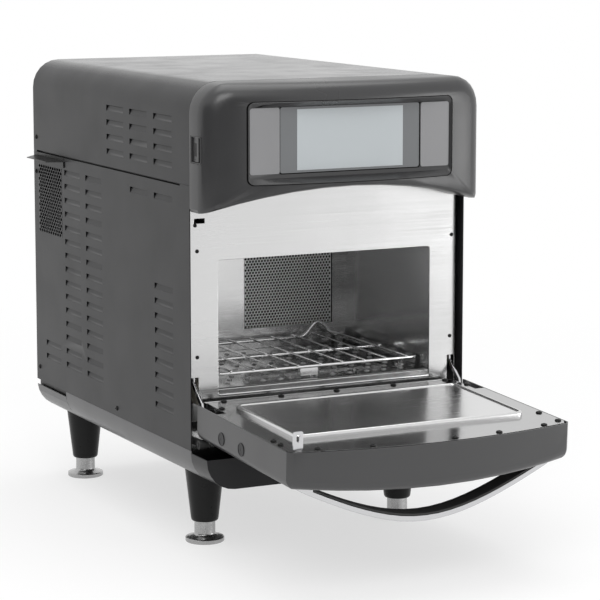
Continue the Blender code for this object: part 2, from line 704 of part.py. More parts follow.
def loft(name, loops, thickness, finish, parent=None, close_middle=False):
    """Skins closed loops of equal length, one after the other, and thickens them inwards."""
    shape = bmesh.new()
    rows = [[shape.verts.new(point) for point in loop] for loop in loops]
    for row, following in zip(rows, rows[1:]):
        count = len(row)
        for i in range(count):
            j = (i + 1) % count
            shape.faces.new((row[i], row[j], following[j], following[i]))
    if close_middle:
        last = rows[-1]
        middle = shape.verts.new(sum((v.co for v in last), Vector()) / len(last))
        for i, point in enumerate(last):
            shape.faces.new((point, last[(i + 1) % len(last)], middle))
    face_away(shape)
    made = add(name, mesh_from(shape, name), finish, parent)
    thicken(made, thickness)
    shade_round(made)
    return made


def turned(name, profile, finish, location, turn=(0, 0, 0), closed=False):
    """Turns a profile of radius and height about its axis; a closed one makes a ring."""
    data = bpy.data.meshes.new(name)
    points = [(radius, 0, height) for radius, height in profile]
    edges = [(i, i + 1) for i in range(len(points) - 1)]
    if closed:
        edges.append((len(points) - 1, 0))
    data.from_pydata(points, edges, [])
    made = add(name, data, finish, ROOT, location, turn)
    step = made.modifiers.new("turning", "SCREW")
    step.axis = "Z"
    step.steps = ROUND_SEGMENTS
    step.render_steps = ROUND_SEGMENTS
    step.use_merge_vertices = True
    step.merge_threshold = STEP_WELD_DISTANCE
    step.use_smooth_shade = False
    return made


def tube(name, points, radius, finish, parent=None, cyclic=False, resolution=2):
    """Makes a round tube or wire along points."""
    data = bpy.data.curves.new(name, "CURVE")
    data.dimensions = "3D"
    data.bevel_depth = radius
    data.bevel_resolution = resolution
    data.resolution_u = 1
    data.render_resolution_u = 0
    data.use_fill_caps = not cyclic
    spline = data.splines.new("POLY")
    spline.points.add(len(points) - 1)
    for point, place in zip(spline.points, points):
        point.co = (*place, 1)
    spline.use_cyclic_u = cyclic
    return add(name, data, finish, parent)


def mirrored(outline):
    """The same outline on the other side of the middle."""
    return [(-x, z) for x, z in outline]


def louvre_centres(rows):
    """The places of louvres along Y and up Z, from rows of (column, height of the top edge)."""
    return [(LOUVRE_COLUMN_START + LOUVRE_COLUMN_PITCH * column, top) for column, top in rows]


def side_louvres():
    """Louvre places on one side sheet."""
    first = UPPER_SEAM_HEIGHT - SIDE_LOUVRE_BELOW_SEAM
    rows = [(column, first) for column in SIDE_LOUVRES_AT_SEAM]
    for column, steps in SIDE_LOUVRE_ROWS.items():
        rows += [(column, first - SIDE_LOUVRE_PITCH * step) for step in steps]
    return louvre_centres(rows)


def top_louvres():
    """Louvre places on one side of the top shell."""
    first = TOP_HEIGHT - TOP_LOUVRE_BELOW_TOP
    heights = [first - TOP_LOUVRE_PITCH * row for row in range(TOP_LOUVRE_ROWS)]
    return louvre_centres([(column, z) for column in range(TOP_LOUVRE_COLUMNS) for z in heights])


def grow_slots(shape, places, side):
    """Adds the cutters of the louvre openings."""
    half = LOUVRE_LENGTH / 2
    across = sorted((side * (HALF_WIDTH - SHEET - OVERRUN), side * (HALF_WIDTH + OVERRUN)))
    for centre, top in places:
        low = (across[0], centre - half, top - LOUVRE_HEIGHT)
        grow_box(shape, low, (across[1], centre + half, top))


def grow_louvres(shape, places, side):
    """Adds the slanted blades that lean inwards behind the openings, from the lower edge of each."""
    face = side * (HALF_WIDTH - SHEET / 2)
    for centre, top in places:
        start = (face - side * LOUVRE_REACH, top)
        end = (face, top - LOUVRE_HEIGHT - SHEET / 2)
        run = Vector((end[0] - start[0], 0, end[1] - start[1]))
        angle = math.atan2(run.x, -run.z)
        middle = Vector(((start[0] + end[0]) / 2, centre, (start[1] + end[1]) / 2))
        size = (LOUVRE_SHEET, LOUVRE_LENGTH, run.length)
        turn = Matrix.Rotation(-angle, 4, "Y")
        bmesh.ops.create_cube(
            shape, size=1, matrix=Matrix.Translation(middle) @ turn @ Matrix.Diagonal((*size, 1))
        )


def grow_vent(shape, side):
    """Adds the cutters of the staggered holes of the side vent."""
    pitch = VENT_LENGTH / VENT_COLUMNS
    rise = VENT_HEIGHT / VENT_ROWS
    radius = VENT_HOLE_SHARE * min(pitch, rise) / 2
    bottom = UPPER_SEAM_HEIGHT - VENT_BELOW_SEAM - VENT_HEIGHT
    for row in range(VENT_ROWS):
        shift = pitch * STAGGER_SHARE if row % 2 else -pitch * STAGGER_SHARE
        for column in range(VENT_COLUMNS):
            y = VENT_START + pitch * (column + CELL_MIDDLE) + shift
            z = bottom + rise * (row + CELL_MIDDLE)
            start = (side * (HALF_WIDTH - SHEET - OVERRUN), y, z)
            grow_rod(shape, start, (side * (HALF_WIDTH + OVERRUN), y, z), radius, VENT_HOLE_SIDES)


def side_panel(name, side):
    """A flat side sheet with louvres and a perforated vent; its top leaves a shadow gap."""
    bottom = LOWER_SEAM_HEIGHT + GAP
    top = UPPER_SEAM_HEIGHT - GAP
    low_top = UPPER_SEAM_HEIGHT - SHADOW_GAP
    edge = [
        (0, bottom),
        (BODY_DEPTH, bottom),
        (BODY_DEPTH, low_top),
        (SHADOW_GAP_START, low_top),
        (SHADOW_GAP_START, top),
        (0, top),
    ]
    middle = (side * (HALF_WIDTH - SHEET / 2), 0, 0)
    sheet = as_mesh(plate(name, [edge], SHEET, "black_paint", middle, FACING_SIDE))
    slots = bmesh.new()
    grow_slots(slots, side_louvres(), side)
    grow_vent(slots, side)
    use_tool(sheet, add(name + "_slots", mesh_from(slots, name), "black_paint"))
    blades = bmesh.new()
    grow_louvres(blades, side_louvres(), side)
    use_tool(sheet, add(name + "_blades", mesh_from(blades, name), "black_paint"), "UNION")


def top_outline():
    """The inverted U of the top shell, from its left lower edge to its right one."""
    left = -HALF_WIDTH + CORNER_RADIUS
    top = TOP_HEIGHT - CORNER_RADIUS
    corner = arc((left, top), CORNER_RADIUS, 180, 90, CORNER_STEPS)
    half = [(-HALF_WIDTH, UPPER_SEAM_HEIGHT), *corner]
    return half + mirrored(half)[::-1]


def top_shell():
    """The top cover, a bent sheet with louvres on both sides."""
    shell = bent_sheet("top_shell", top_outline(), 0, BODY_DEPTH, SHEET, "black_paint")
    slots = bmesh.new()
    blades = bmesh.new()
    for side in (-1, 1):
        grow_slots(slots, top_louvres(), side)
        grow_louvres(blades, top_louvres(), side)
    use_tool(shell, add("top_slots", mesh_from(slots, "top_slots"), "black_paint"))
    use_tool(shell, add("top_blades", mesh_from(blades, "top_blades"), "black_paint"), "UNION")


def base_outline(top):
    """The U of the base pan, from its left upper edge to its right one."""
    lift = BASE_HEIGHT + CORNER_RADIUS - top
    start = 180 + math.degrees(math.asin(max(lift, 0) / CORNER_RADIUS))
    middle = (-HALF_WIDTH + CORNER_RADIUS, BASE_HEIGHT + CORNER_RADIUS)
    half = arc(middle, CORNER_RADIUS, start, 270, CORNER_STEPS)
    if lift < 0:
        half = [(-HALF_WIDTH, top), *half]
    return half + mirrored(half)[::-1]


def base():
    """The base pan and the lower cap that closes it at the rear."""
    split = BODY_DEPTH - REAR_CAP_LENGTH
    bent_sheet("base_pan", base_outline(LOWER_SEAM_HEIGHT), 0, split - GAP, THICK_SHEET, "base_paint")
    cap_top = LOWER_SEAM_HEIGHT - REAR_CAP_DROP
    bent_sheet("rear_base_cap", base_outline(cap_top), split, BODY_DEPTH, THICK_SHEET, "base_paint")


def rear_panel():
    """The back sheet inside the wrapper, with air slots and the hole of the power gland."""
    inset = SHEET + GAP
    half = HALF_WIDTH - inset
    radius = CORNER_RADIUS - inset
    bottom = LOWER_SEAM_HEIGHT + GAP
    edge = [
        *arc((half - radius, TOP_HEIGHT - inset - radius), radius, 0, 90, CORNER_STEPS),
        *arc((radius - half, TOP_HEIGHT - inset - radius), radius, 90, 180, CORNER_STEPS),
        (-half, bottom),
        (half, bottom),
    ]
    holes = [ring((GLAND_X, GLAND_HEIGHT), GLAND_RADIUS + GAP, PIN_SEGMENTS)]
    start = FAN_HEIGHT - REAR_SLOT_PITCH * (REAR_SLOT_COUNT - 1) / 2
    for i in range(REAR_SLOT_COUNT):
        low = start + REAR_SLOT_PITCH * i - REAR_SLOT_HEIGHT / 2
        left = FAN_X - REAR_SLOT_LENGTH / 2
        holes.append(rectangle(left, low, left + REAR_SLOT_LENGTH, low + REAR_SLOT_HEIGHT))
    middle = (0, BODY_DEPTH - REAR_PANEL_INSET - THICK_SHEET / 2, 0)
    plate("rear_panel", [edge, *holes], THICK_SHEET, "dark_stainless", middle, FACING_FRONT)


def vent_hood(name, side):
    """A flat shelf, slanted at both ends, that turns warm air away from the side vent."""
    reach = side * HOOD_REACH
    edge = [(0, 0), (reach, HOOD_FRONT_LEAN), (reach, HOOD_LENGTH - HOOD_REAR_LEAN), (0, HOOD_LENGTH)]
    middle = (side * (HALF_WIDTH + GAP), HOOD_START, UPPER_SEAM_HEIGHT - HOOD_BELOW_SEAM)
    plate(name, [edge], SHEET, "black_paint", middle, (0, 0, 0))


def bowed(x, depth, radius):
    """How far forward a bowed front stands at x, for its depth at the middle."""
    return -(depth - (radius - math.sqrt(radius * radius - x * x)))


HOUSING_DEPTH = HOUSING_SIDE_DEPTH + HOUSING_BOW_RADIUS - math.sqrt(
    HOUSING_BOW_RADIUS**2 - (HALF_WIDTH - HOUSING_FILLET) ** 2
)


def housing_loop(inset, lift):
    """One closed loop of the control housing, pulled in from its outline."""
    half = HALF_WIDTH - inset
    top = TOP_HEIGHT - inset
    radius = CORNER_RADIUS - inset
    sweep = HOUSING_ARCH_RADIUS
    low = HOUSING_ARCH_HEIGHT + inset * HOUSING_LOW_FILLET / HOUSING_FILLET - sweep
    corner = HOUSING_LOWER_CORNER
    foot = low + math.sqrt(sweep * sweep - half * half) + corner
    bend = corner * HOUSING_CORNER_SHARE
    sides = [top - radius + (foot - top + radius) * share for share in SIDE_SHARES]
    points = arc((half - radius, top - radius), radius, 0, 90, CORNER_STEPS)
    points += [(x * (half - radius), top) for x in HOUSING_TOP_SHARES]
    points += arc((radius - half, top - radius), radius, 90, 180, CORNER_STEPS)
    points += [(-half, z) for z in sides]
    points += [(-half, foot), (-half + bend, foot - corner + bend)]
    across = [x * half for x in HOUSING_LOW_SHARES]
    points += [(x, low + math.sqrt(sweep * sweep - x * x)) for x in across]
    points += [(half - bend, foot - corner + bend), (half, foot)]
    points += [(half, z) for z in sides[::-1]]
    return [(x, housing_front(x) + lift, z) for x, z in points]


def pocket_loop(half, bottom, top, radius, depth):
    """A rounded rectangle with one point for each point of the housing's own loops."""
    sides = [top - radius + (bottom - top + 2 * radius) * share for share in SIDE_SHARES]
    bend = radius * HOUSING_CORNER_SHARE
    points = arc((half - radius, top - radius), radius, 0, 90, CORNER_STEPS)
    points += [(x * (half - radius), top) for x in HOUSING_TOP_SHARES]
    points += arc((radius - half, top - radius), radius, 90, 180, CORNER_STEPS)
    points += [(-half, z) for z in sides]
    points += [(-half, bottom + radius), (-half + bend, bottom + bend)]
    points += [(x / HOUSING_LOW_SHARES[-1] * (half - radius), bottom) for x in HOUSING_LOW_SHARES]
    points += [(half - bend, bottom + bend), (half, bottom + radius)]
    points += [(half, z) for z in sides[::-1]]
    return [(x, depth(x), z) for x, z in points]


def housing_front(x):
    """The bowed front of the housing at x."""
    return bowed(x, HOUSING_DEPTH, HOUSING_BOW_RADIUS)


def pocket_floor(x):
    """The foot of the pocket's walls, just in front of its floor."""
    return max(housing_front(x) + POCKET_RIM, -GLASS_SETBACK - POCKET_RIM)


def glass_face(_):
    """The flat floor of the pocket, level with the glass."""
    return -GLASS_SETBACK


def control_housing():
    """The moulded housing of the touch screen: bowed front, rounded edges and a screen pocket."""
    outline = housing_loop(0, 0)
    back = [(x, -GAP, z) for x, _, z in outline]
    loops = [back]
    for t in [math.pi / 2 * i / FILLET_STEPS for i in range(FILLET_STEPS + 1)]:
        inset = HOUSING_FILLET * (1 - math.cos(t))
        loops.append(housing_loop(inset, HOUSING_FILLET * (1 - math.sin(t))))
    half = POCKET_WIDTH / 2
    loops.append(pocket_loop(half, POCKET_BOTTOM, POCKET_TOP, POCKET_CORNER, housing_front))
    low = POCKET_BOTTOM + POCKET_SLOPE
    high = POCKET_TOP - POCKET_SLOPE
    loops.append(pocket_loop(half - POCKET_RIM, low, high, POCKET_CORNER, pocket_floor))
    half = GLASS_WIDTH / 2 + GAP
    loops.append(pocket_loop(half, GLASS_BOTTOM - GAP, GLASS_TOP + GAP, GLASS_CORNER, glass_face))
    housing = loft("control_housing", loops, HOUSING_WALL, "housing_plastic")
    notch = bmesh.new()
    half = USB_NOTCH_HEIGHT / 2
    low = (-HALF_WIDTH - OVERRUN, -USB_NOTCH_START - USB_NOTCH_LENGTH, USB_NOTCH_CENTRE_HEIGHT - half)
    high = (-HALF_WIDTH + USB_NOTCH_DEPTH, -USB_NOTCH_START, USB_NOTCH_CENTRE_HEIGHT + half)
    grow_box(notch, low, high)
    tool = add("usb_notch", mesh_from(notch, "usb_notch"), "housing_plastic")
    use_tool(housing, tool, crossing=False)


def usb_port():
    """The tray that lines the notch for a data stick, with the socket in its floor."""
    front = -USB_NOTCH_START - USB_NOTCH_LENGTH + GAP
    back = -USB_NOTCH_START - GAP
    low = USB_NOTCH_CENTRE_HEIGHT - USB_NOTCH_HEIGHT / 2 + GAP
    high = USB_NOTCH_CENTRE_HEIGHT + USB_NOTCH_HEIGHT / 2 - GAP
    floor = -HALF_WIDTH + USB_NOTCH_DEPTH
    shape = bmesh.new()
    grow_box(shape, (-HALF_WIDTH + GAP, front, low), (floor + USB_PORT_DEPTH, back, high))
    made = add("usb_port", mesh_from(shape, "usb_port"), "housing_plastic")
    hollow = bmesh.new()
    start = (-HALF_WIDTH - OVERRUN, front + SHEET, low + SHEET)
    grow_box(hollow, start, (floor, back - SHEET, high - SHEET))
    middle = back - USB_SOCKET_SETBACK
    half = (USB_SOCKET_LENGTH / 2, USB_SOCKET_HEIGHT / 2)
    start = (floor - OVERRUN, middle - half[0], USB_NOTCH_CENTRE_HEIGHT - half[1])
    end = (floor + USB_PORT_DEPTH - SHEET, middle + half[0], USB_NOTCH_CENTRE_HEIGHT + half[1])
    grow_box(hollow, start, end)
    use_tool(made, add("usb_hollow", mesh_from(hollow, "usb_hollow"), "housing_plastic"))


def screen():
    """The touch glass, the display behind it and the control board."""
    edge = rounded_rectangle(-GLASS_WIDTH / 2, GLASS_BOTTOM, GLASS_WIDTH / 2, GLASS_TOP, GLASS_CORNER)
    middle = (0, -GLASS_SETBACK + GLASS_THICKNESS / 2, 0)
    plate("touch_glass", [edge], GLASS_THICKNESS, "glass", middle, FACING_FRONT)
    back = -GLASS_SETBACK + GLASS_THICKNESS + GAP
    height = (GLASS_BOTTOM + GLASS_TOP) / 2
    low = (-DISPLAY_WIDTH / 2, back, height - DISPLAY_HEIGHT / 2)
    high = (DISPLAY_WIDTH / 2, back + DISPLAY_THICKNESS, height + DISPLAY_HEIGHT / 2)
    boxes("display_panel", [(low, high)], "display")
    start = back + DISPLAY_THICKNESS + GAP
    board = bmesh.new()
    low = (-BOARD_WIDTH / 2, start, height - BOARD_HEIGHT / 2)
    grow_box(board, low, (BOARD_WIDTH / 2, start + BOARD_THICKNESS, height + BOARD_HEIGHT / 2))
    made = add("control_board", mesh_from(board, "control_board"), "board")
    chips = bmesh.new()
    for share in BOARD_CHIP_PLACES:
        x = share * BOARD_WIDTH
        chip = (x, start + BOARD_THICKNESS / 2, height - BOARD_CHIP / 2)
        far = (x + BOARD_CHIP, start + BOARD_THICKNESS + BOARD_CHIP_HEIGHT, height + BOARD_CHIP / 2)
        grow_box(chips, chip, far)
    use_tool(made, add("board_chips", mesh_from(chips, "board_chips"), "board"), "UNION")


def front_cap():
    """The lower front cover, a shallow tray with the outline of the base."""
    outline = [(x, z) for x, z in base_outline(CAP_TOP_HEIGHT)]
    shape = bmesh.new()
    back = [shape.verts.new((x, -GAP, z)) for x, z in outline]
    front = [shape.verts.new((x, -CAP_DEPTH, z)) for x, z in outline]
    for a, b, c, d in zip(back, back[1:], front[1:], front):
        shape.faces.new((a, b, c, d))
    shape.faces.new(front)
    face_away(shape)
    made = add("front_cap", mesh_from(shape, "front_cap"), "black_paint")
    thicken(made, THICK_SHEET)


def fascia_holes():
    """The oven opening, the slot of the latch, the slots of the hinge arms and their screws."""
    half = OPENING_WIDTH / 2
    holes = [rounded_rectangle(-half, OPENING_BOTTOM, half, OPENING_TOP, OPENING_CORNER)]
    low = HINGE_HEIGHT + TAB_ABOVE_HINGE - LATCH_SLOT_HEIGHT / 2
    left = TAB_CENTRE_X - LATCH_SLOT_WIDTH / 2
    holes.append(rectangle(left, low, left + LATCH_SLOT_WIDTH, low + LATCH_SLOT_HEIGHT))
    for side in (-1, 1):
        middle = side * ARM_SLOT_FROM_CENTRE
        sides = (middle - ARM_SLOT_WIDTH / 2, middle + ARM_SLOT_WIDTH / 2)
        holes.append(rectangle(sides[0], ARM_SLOT_BOTTOM, sides[1], ARM_SLOT_TOP))
    return holes


def front_fascia():
    """The stainless front sheet around the oven opening."""
    half = HALF_WIDTH - FASCIA_SIDE_MARGIN
    top = UPPER_SEAM_HEIGHT - FASCIA_TOP_MARGIN
    bottom = BASE_HEIGHT + THICK_SHEET + GAP
    radius = CORNER_RADIUS
    edge = [(half, top), (-half, top)]
    edge += arc((radius - half, bottom + radius), radius, 180, 270, CORNER_STEPS)
    edge += arc((half - radius, bottom + radius), radius, 270, 360, CORNER_STEPS)
    middle = (0, FASCIA_SETBACK + THICK_SHEET / 2, 0)
    plate("front_fascia", [edge, *fascia_holes()], THICK_SHEET, "stainless", middle, FACING_FRONT)


def interlock():
    """The switch block behind the latch slot, which the tab of the door enters."""
    height = HINGE_HEIGHT + TAB_ABOVE_HINGE
    front = FASCIA_SETBACK + THICK_SHEET + GAP
    half = SWITCH_HEIGHT / 2
    low = (TAB_CENTRE_X - SWITCH_WIDTH / 2, front, height - half)
    shape = bmesh.new()
    grow_box(shape, low, (TAB_CENTRE_X + SWITCH_WIDTH / 2, front + SWITCH_DEPTH, height + half))
    block = add("interlock_switch", mesh_from(shape, "interlock_switch"), "rubber")
    slot = bmesh.new()
    half = (LATCH_SLOT_WIDTH / 2, LATCH_SLOT_HEIGHT / 2)
    low = (TAB_CENTRE_X - half[0], front - OVERRUN, height - half[1])
    grow_box(slot, low, (TAB_CENTRE_X + half[0], front + SWITCH_SLOT_DEPTH, height + half[1]))
    use_tool(block, add("switch_slot", mesh_from(slot, "switch_slot"), "rubber"))


def chamber():
    """The cooking chamber: a lined box, its sill, its perforated return grille and its two plates."""
    half = CHAMBER_HALF_WIDTH
    wall = THICK_SHEET
    shape = bmesh.new()
    low = (-half - wall, CHAMBER_START, CHAMBER_FLOOR_HEIGHT - wall)
    grow_box(shape, low, (half + wall, CHAMBER_END + wall, CHAMBER_TOP + wall))
    liner = add("chamber_liner", mesh_from(shape, "chamber_liner"), "stainless")
    hollow = bmesh.new()
    grow_box(hollow, (-half, CHAMBER_START - OVERRUN, CHAMBER_FLOOR_HEIGHT), (half, CHAMBER_END, CHAMBER_TOP))
    left = GRILLE_CENTRE_X - GRILLE_WIDTH / 2
    window = (left + GRILLE_WIDTH, CHAMBER_END + wall + OVERRUN, GRILLE_TOP)
    grow_box(hollow, (left, CHAMBER_END - OVERRUN, GRILLE_BOTTOM), window)
    tool = add("chamber_hollow", mesh_from(hollow, "chamber_hollow"), "stainless")
    use_tool(liner, tool)
    sill = bmesh.new()
    low = (-half + GAP, CHAMBER_START + GAP, OPENING_BOTTOM)
    grow_box(sill, low, (half - GAP, CHAMBER_START + SILL_DEPTH, CHAMBER_FLOOR_HEIGHT - wall / 2))
    use_tool(liner, add("chamber_sill", mesh_from(sill, "chamber_sill"), "stainless"), "UNION")


def return_grille():
    """The perforated plate behind the chamber's rear window."""
    left = GRILLE_CENTRE_X - GRILLE_WIDTH / 2
    frame = GRILLE_FRAME
    edge = rectangle(left - frame, GRILLE_BOTTOM - frame, left + GRILLE_WIDTH + frame, GRILLE_TOP + frame)
    pitch = GRILLE_WIDTH / (GRILLE_COLUMNS + CELL_MIDDLE)
    rise = (GRILLE_TOP - GRILLE_BOTTOM) / GRILLE_ROWS
    radius = GRILLE_HOLE_SHARE * min(pitch, rise) / 2
    holes = []
    for row in range(GRILLE_ROWS):
        shift = pitch / 2 if row % 2 else 0
        for column in range(GRILLE_COLUMNS):
            x = left + pitch * (column + CELL_MIDDLE) + shift
            z = GRILLE_BOTTOM + rise * (row + CELL_MIDDLE)
            holes.append(ring((x, z), radius, GRILLE_HOLE_SIDES))
    middle = (0, CHAMBER_END + THICK_SHEET + GAP + SHEET / 2, 0)
    plate("return_grille", [edge, *holes], SHEET, "dark_stainless", middle, FACING_FRONT)


def chamber_plates():
    """The floor plate and the slotted jet plate under the ceiling."""
    half = CHAMBER_HALF_WIDTH - FLOOR_PLATE_MARGIN
    low = (-half, CHAMBER_START + FLOOR_PLATE_MARGIN, CHAMBER_FLOOR_HEIGHT + GAP)
    high = (half, CHAMBER_END - FLOOR_PLATE_MARGIN, CHAMBER_FLOOR_HEIGHT + GAP + SHEET)
    boxes("floor_plate", [(low, high)], "dark_stainless")
    half = CHAMBER_HALF_WIDTH - JET_PLATE_MARGIN
    start = CHAMBER_START + JET_PLATE_MARGIN
    end = CHAMBER_END - JET_PLATE_MARGIN
    edge = rectangle(-half, start, half, end)
    slots = []
    pitch = 2 * half / JET_SLOT_COUNT
    long = (end - start) * JET_SLOT_LENGTH_SHARE / 2
    for i in range(JET_SLOT_COUNT):
        x = -half + pitch * (i + CELL_MIDDLE)
        middle = (start + end) / 2
        slots.append(rectangle(x - JET_SLOT_WIDTH / 2, middle - long, x + JET_SLOT_WIDTH / 2, middle + long))
    plate("jet_plate", [edge, *slots], SHEET, "stainless", (0, 0, CHAMBER_TOP - GAP - SHEET / 2))


def insulation():
    """The wool blanket around the chamber."""
    inner = CHAMBER_HALF_WIDTH + THICK_SHEET + GAP
    low = CHAMBER_FLOOR_HEIGHT - THICK_SHEET - GAP
    high = CHAMBER_TOP + THICK_SHEET + GAP
    thick = INSULATION_THICKNESS
    start = CHAMBER_START + SILL_DEPTH + GAP
    end = start + (CHAMBER_END - start) * INSULATION_DEPTH_SHARE
    outer = rectangle(-inner - thick, low - thick, inner + thick, high + thick)
    hole = rectangle(-inner, low, inner, high)
    plate("insulation_wrap", [outer, hole], end - start, "wool", (0, (start + end) / 2, 0), FACING_FRONT)


def waveguide_port():
    """The height at which the waveguide lies over the insulated chamber."""
    return CHAMBER_TOP + THICK_SHEET + 2 * GAP + INSULATION_THICKNESS


def rack_rails():
    """The two rails that carry the rack, each a strip on two feet."""
    top = RACK_HEIGHT - RACK_WIRE - 2 * RACK_FRAME_WIRE + WIRE_WELD - GAP
    floor = CHAMBER_FLOOR_HEIGHT + SHEET + 2 * GAP
    for name, side in (("rack_rail_left", -1), ("rack_rail_right", 1)):
        x = side * RAIL_HALF_SPACING
        low = x - RAIL_WIDTH / 2
        high = x + RAIL_WIDTH / 2
        end = RAIL_START + RAIL_LENGTH
        foot = RAIL_FOOT_LENGTH
        inner = [(RAIL_START + foot, floor), (RAIL_START + foot + foot / 2, top - JOIN_DEPTH)]
        inner += [(end - foot - foot / 2, top - JOIN_DEPTH), (end - foot, floor)]
        edge = [(RAIL_START, floor), *inner, (end, floor), (end, top), (RAIL_START, top)]
        middle = ((low + high) / 2, 0, 0)
        plate(name, [edge], RAIL_WIDTH, "stainless", middle, FACING_SIDE)


def rack():
    """The wire rack: two cross wires, runners, bars and the raised loop at its back."""
    front = RACK_FRONT
    back = RACK_FRONT + RACK_LENGTH
    height = RACK_HEIGHT
    half = RACK_HALF_WIDTH
    low = height - RACK_WIRE - RACK_FRAME_WIRE + WIRE_WELD
    start = RACK_LOOP_CENTRE_X - RACK_LOOP_HALF_WIDTH
    loop = []
    for i in range(RACK_LOOP_STEPS + 1):
        share = i / RACK_LOOP_STEPS
        rise = RACK_LOOP_RISE * (1 - math.cos(2 * math.pi * share)) / 2
        loop.append((start + 2 * RACK_LOOP_HALF_WIDTH * share, back, low + rise))
    frame_back = [(-half, back, low), *loop, (half, back, low)]
    first = tube("oven_rack", frame_back, RACK_FRAME_WIRE, "chrome", resolution=1)
    first = as_mesh(first)
    wires = bmesh.new()
    for y in (front, front + RACK_MIDDLE):
        grow_rod(wires, (-half, y, low), (half, y, low), RACK_FRAME_WIRE, RACK_WIRE_RING)
    for i in range(RACK_WIRE_COUNT):
        share = i / (RACK_WIRE_COUNT - 1)
        x = -half + RACK_END_MARGIN + (2 * half - 2 * RACK_END_MARGIN) * share
        start_point = (x, front - RACK_FRAME_WIRE, height)
        grow_rod(wires, start_point, (x, back + RACK_FRAME_WIRE, height), RACK_WIRE, RACK_WIRE_RING)
    use_tool(first, add("rack_wires", mesh_from(wires, "rack_wires"), "chrome"), "UNION")
    x = RACK_TAG_CENTRE_X
    top = low - RACK_FRAME_WIRE + WIRE_WELD
    tag = bmesh.new()
    tag_low = (x - RACK_TAG_WIDTH / 2, front - SHEET / 2, top - RACK_TAG_HEIGHT)
    grow_box(tag, tag_low, (x + RACK_TAG_WIDTH / 2, front + SHEET / 2, top + RACK_FRAME_WIRE))
    use_tool(first, add("rack_tag", mesh_from(tag, "rack_tag"), "chrome"), "UNION")


def door_top(x, inset=0):
    """The height of the door's arched top edge above the hinge line."""
    share = x / DOOR_HALF_WIDTH
    return DOOR_ABOVE_HINGE - inset + DOOR_ARCH_RISE * (1 - share * share)


def door_loop(inset, depth):
    """One closed loop of the door's outline, pulled in, at a depth that depends on x."""
    half = DOOR_HALF_WIDTH - inset
    bottom = -DOOR_BELOW_HINGE + inset
    corner = max(DOOR_CORNER - inset, GAP)
    points = [(x * half, door_top(x * half, inset)) for x in DOOR_TOP_SHARES]
    side = door_top(half, inset)
    points += [(-half, side - corner)]
    points += [(-half, side - corner + (bottom - side + 2 * corner) * share) for share in DOOR_SIDE_SHARES]
    points += [(-half, bottom + corner), (-half + corner, bottom)]
    points += [(x * half, bottom) for x in DOOR_LOW_SHARES]
    points += [(half - corner, bottom), (half, bottom + corner)]
    points += [(half, bottom + corner + (side - bottom - 2 * corner) * share) for share in DOOR_SIDE_SHARES]
    points += [(half, side - corner)]
    return [(x, depth(x), z) for x, z in points]


def door_front(x):
    """How far forward of the hinge line the bowed outer face stands at x."""
    depth = -DOOR_OUTER_FACE + DOOR_BOW_DEPTH
    return bowed(x, depth + DOOR_BOW_RISE, DOOR_BOW_RADIUS)


def door_shell():
    """The painted outer pan of the door, bowed in front and arched at its top."""
    loops = [door_loop(0, lambda x: DOOR_INNER_FACE)]
    for t in [math.pi / 2 * i / FILLET_STEPS for i in range(FILLET_STEPS + 1)]:
        inset = DOOR_FILLET * (1 - math.cos(t))
        rise = DOOR_FILLET * (1 - math.sin(t))
        loops.append(door_loop(inset, lambda x, rise=rise: door_front(x) + rise))
    face = loops[-1]
    heights = [z for _, _, z in face]
    level = (min(heights) + max(heights)) / 2
    for share in DOOR_FACE_SHARES:
        points = [(x * share, level + (z - level) * share) for x, _, z in face]
        loops.append([(x, door_front(x), z) for x, z in points])
    shell = loft("door_shell", loops, DOOR_WALL, "black_paint", DOOR_PIVOT, close_middle=True)
    notches = bmesh.new()
    for side in (-1, 1):
        outer = DOOR_HALF_WIDTH - DOOR_WALL - GAP
        across = sorted((side * outer, side * (outer - HINGE_NOTCH_WIDTH)))
        low = (across[0], DOOR_INNER_FACE - HINGE_NOTCH_DROP, -DOOR_BELOW_HINGE - OVERRUN)
        high = (across[1], DOOR_INNER_FACE + OVERRUN, -DOOR_BELOW_HINGE + DOOR_WALL + OVERRUN)
        grow_box(notches, low, high)
    tool = add("door_notches", mesh_from(notches, "door_notches"), "black_paint", DOOR_PIVOT)
    use_tool(shell, tool, crossing=False)


def door_liner():
    """The stainless inner panel, notched at its lower corners for the hinge arms."""
    half = DOOR_HALF_WIDTH - DOOR_WALL - GAP
    bottom = -DOOR_BELOW_HINGE + DOOR_WALL + GAP
    notch = half - HINGE_NOTCH_WIDTH
    inset = DOOR_WALL + GAP
    side = door_top(half, inset) - 2 * DOOR_CORNER
    edge = [(x * half, door_top(x * half, inset + DOOR_CORNER / 2)) for x in DOOR_TOP_SHARES]
    edge += [(-half, side), (-half, HINGE_NOTCH_ABOVE), (-notch, HINGE_NOTCH_ABOVE), (-notch, bottom)]
    edge += [(notch, bottom), (notch, HINGE_NOTCH_ABOVE), (half, HINGE_NOTCH_ABOVE), (half, side)]
    middle = (0, DOOR_INNER_FACE - DOOR_WALL / 2, 0)
    panel = as_mesh(plate("door_liner", [edge], DOOR_WALL, "stainless", middle, FACING_FRONT, DOOR_PIVOT))
    cheeks = bmesh.new()
    for side in (-1, 1):
        across = sorted((side * (notch - GAP), side * (notch - GAP - DOOR_WALL)))
        low = (across[0], DOOR_INNER_FACE - HINGE_CHEEK_DEPTH, bottom + GAP)
        grow_box(cheeks, low, (across[1], DOOR_INNER_FACE - DOOR_WALL / 2, HINGE_NOTCH_ABOVE - GAP))
    tool = add("door_cheeks", mesh_from(cheeks, "door_cheeks"), "stainless", DOOR_PIVOT)
    use_tool(panel, tool, "UNION", "MANIFOLD", crossing=False)


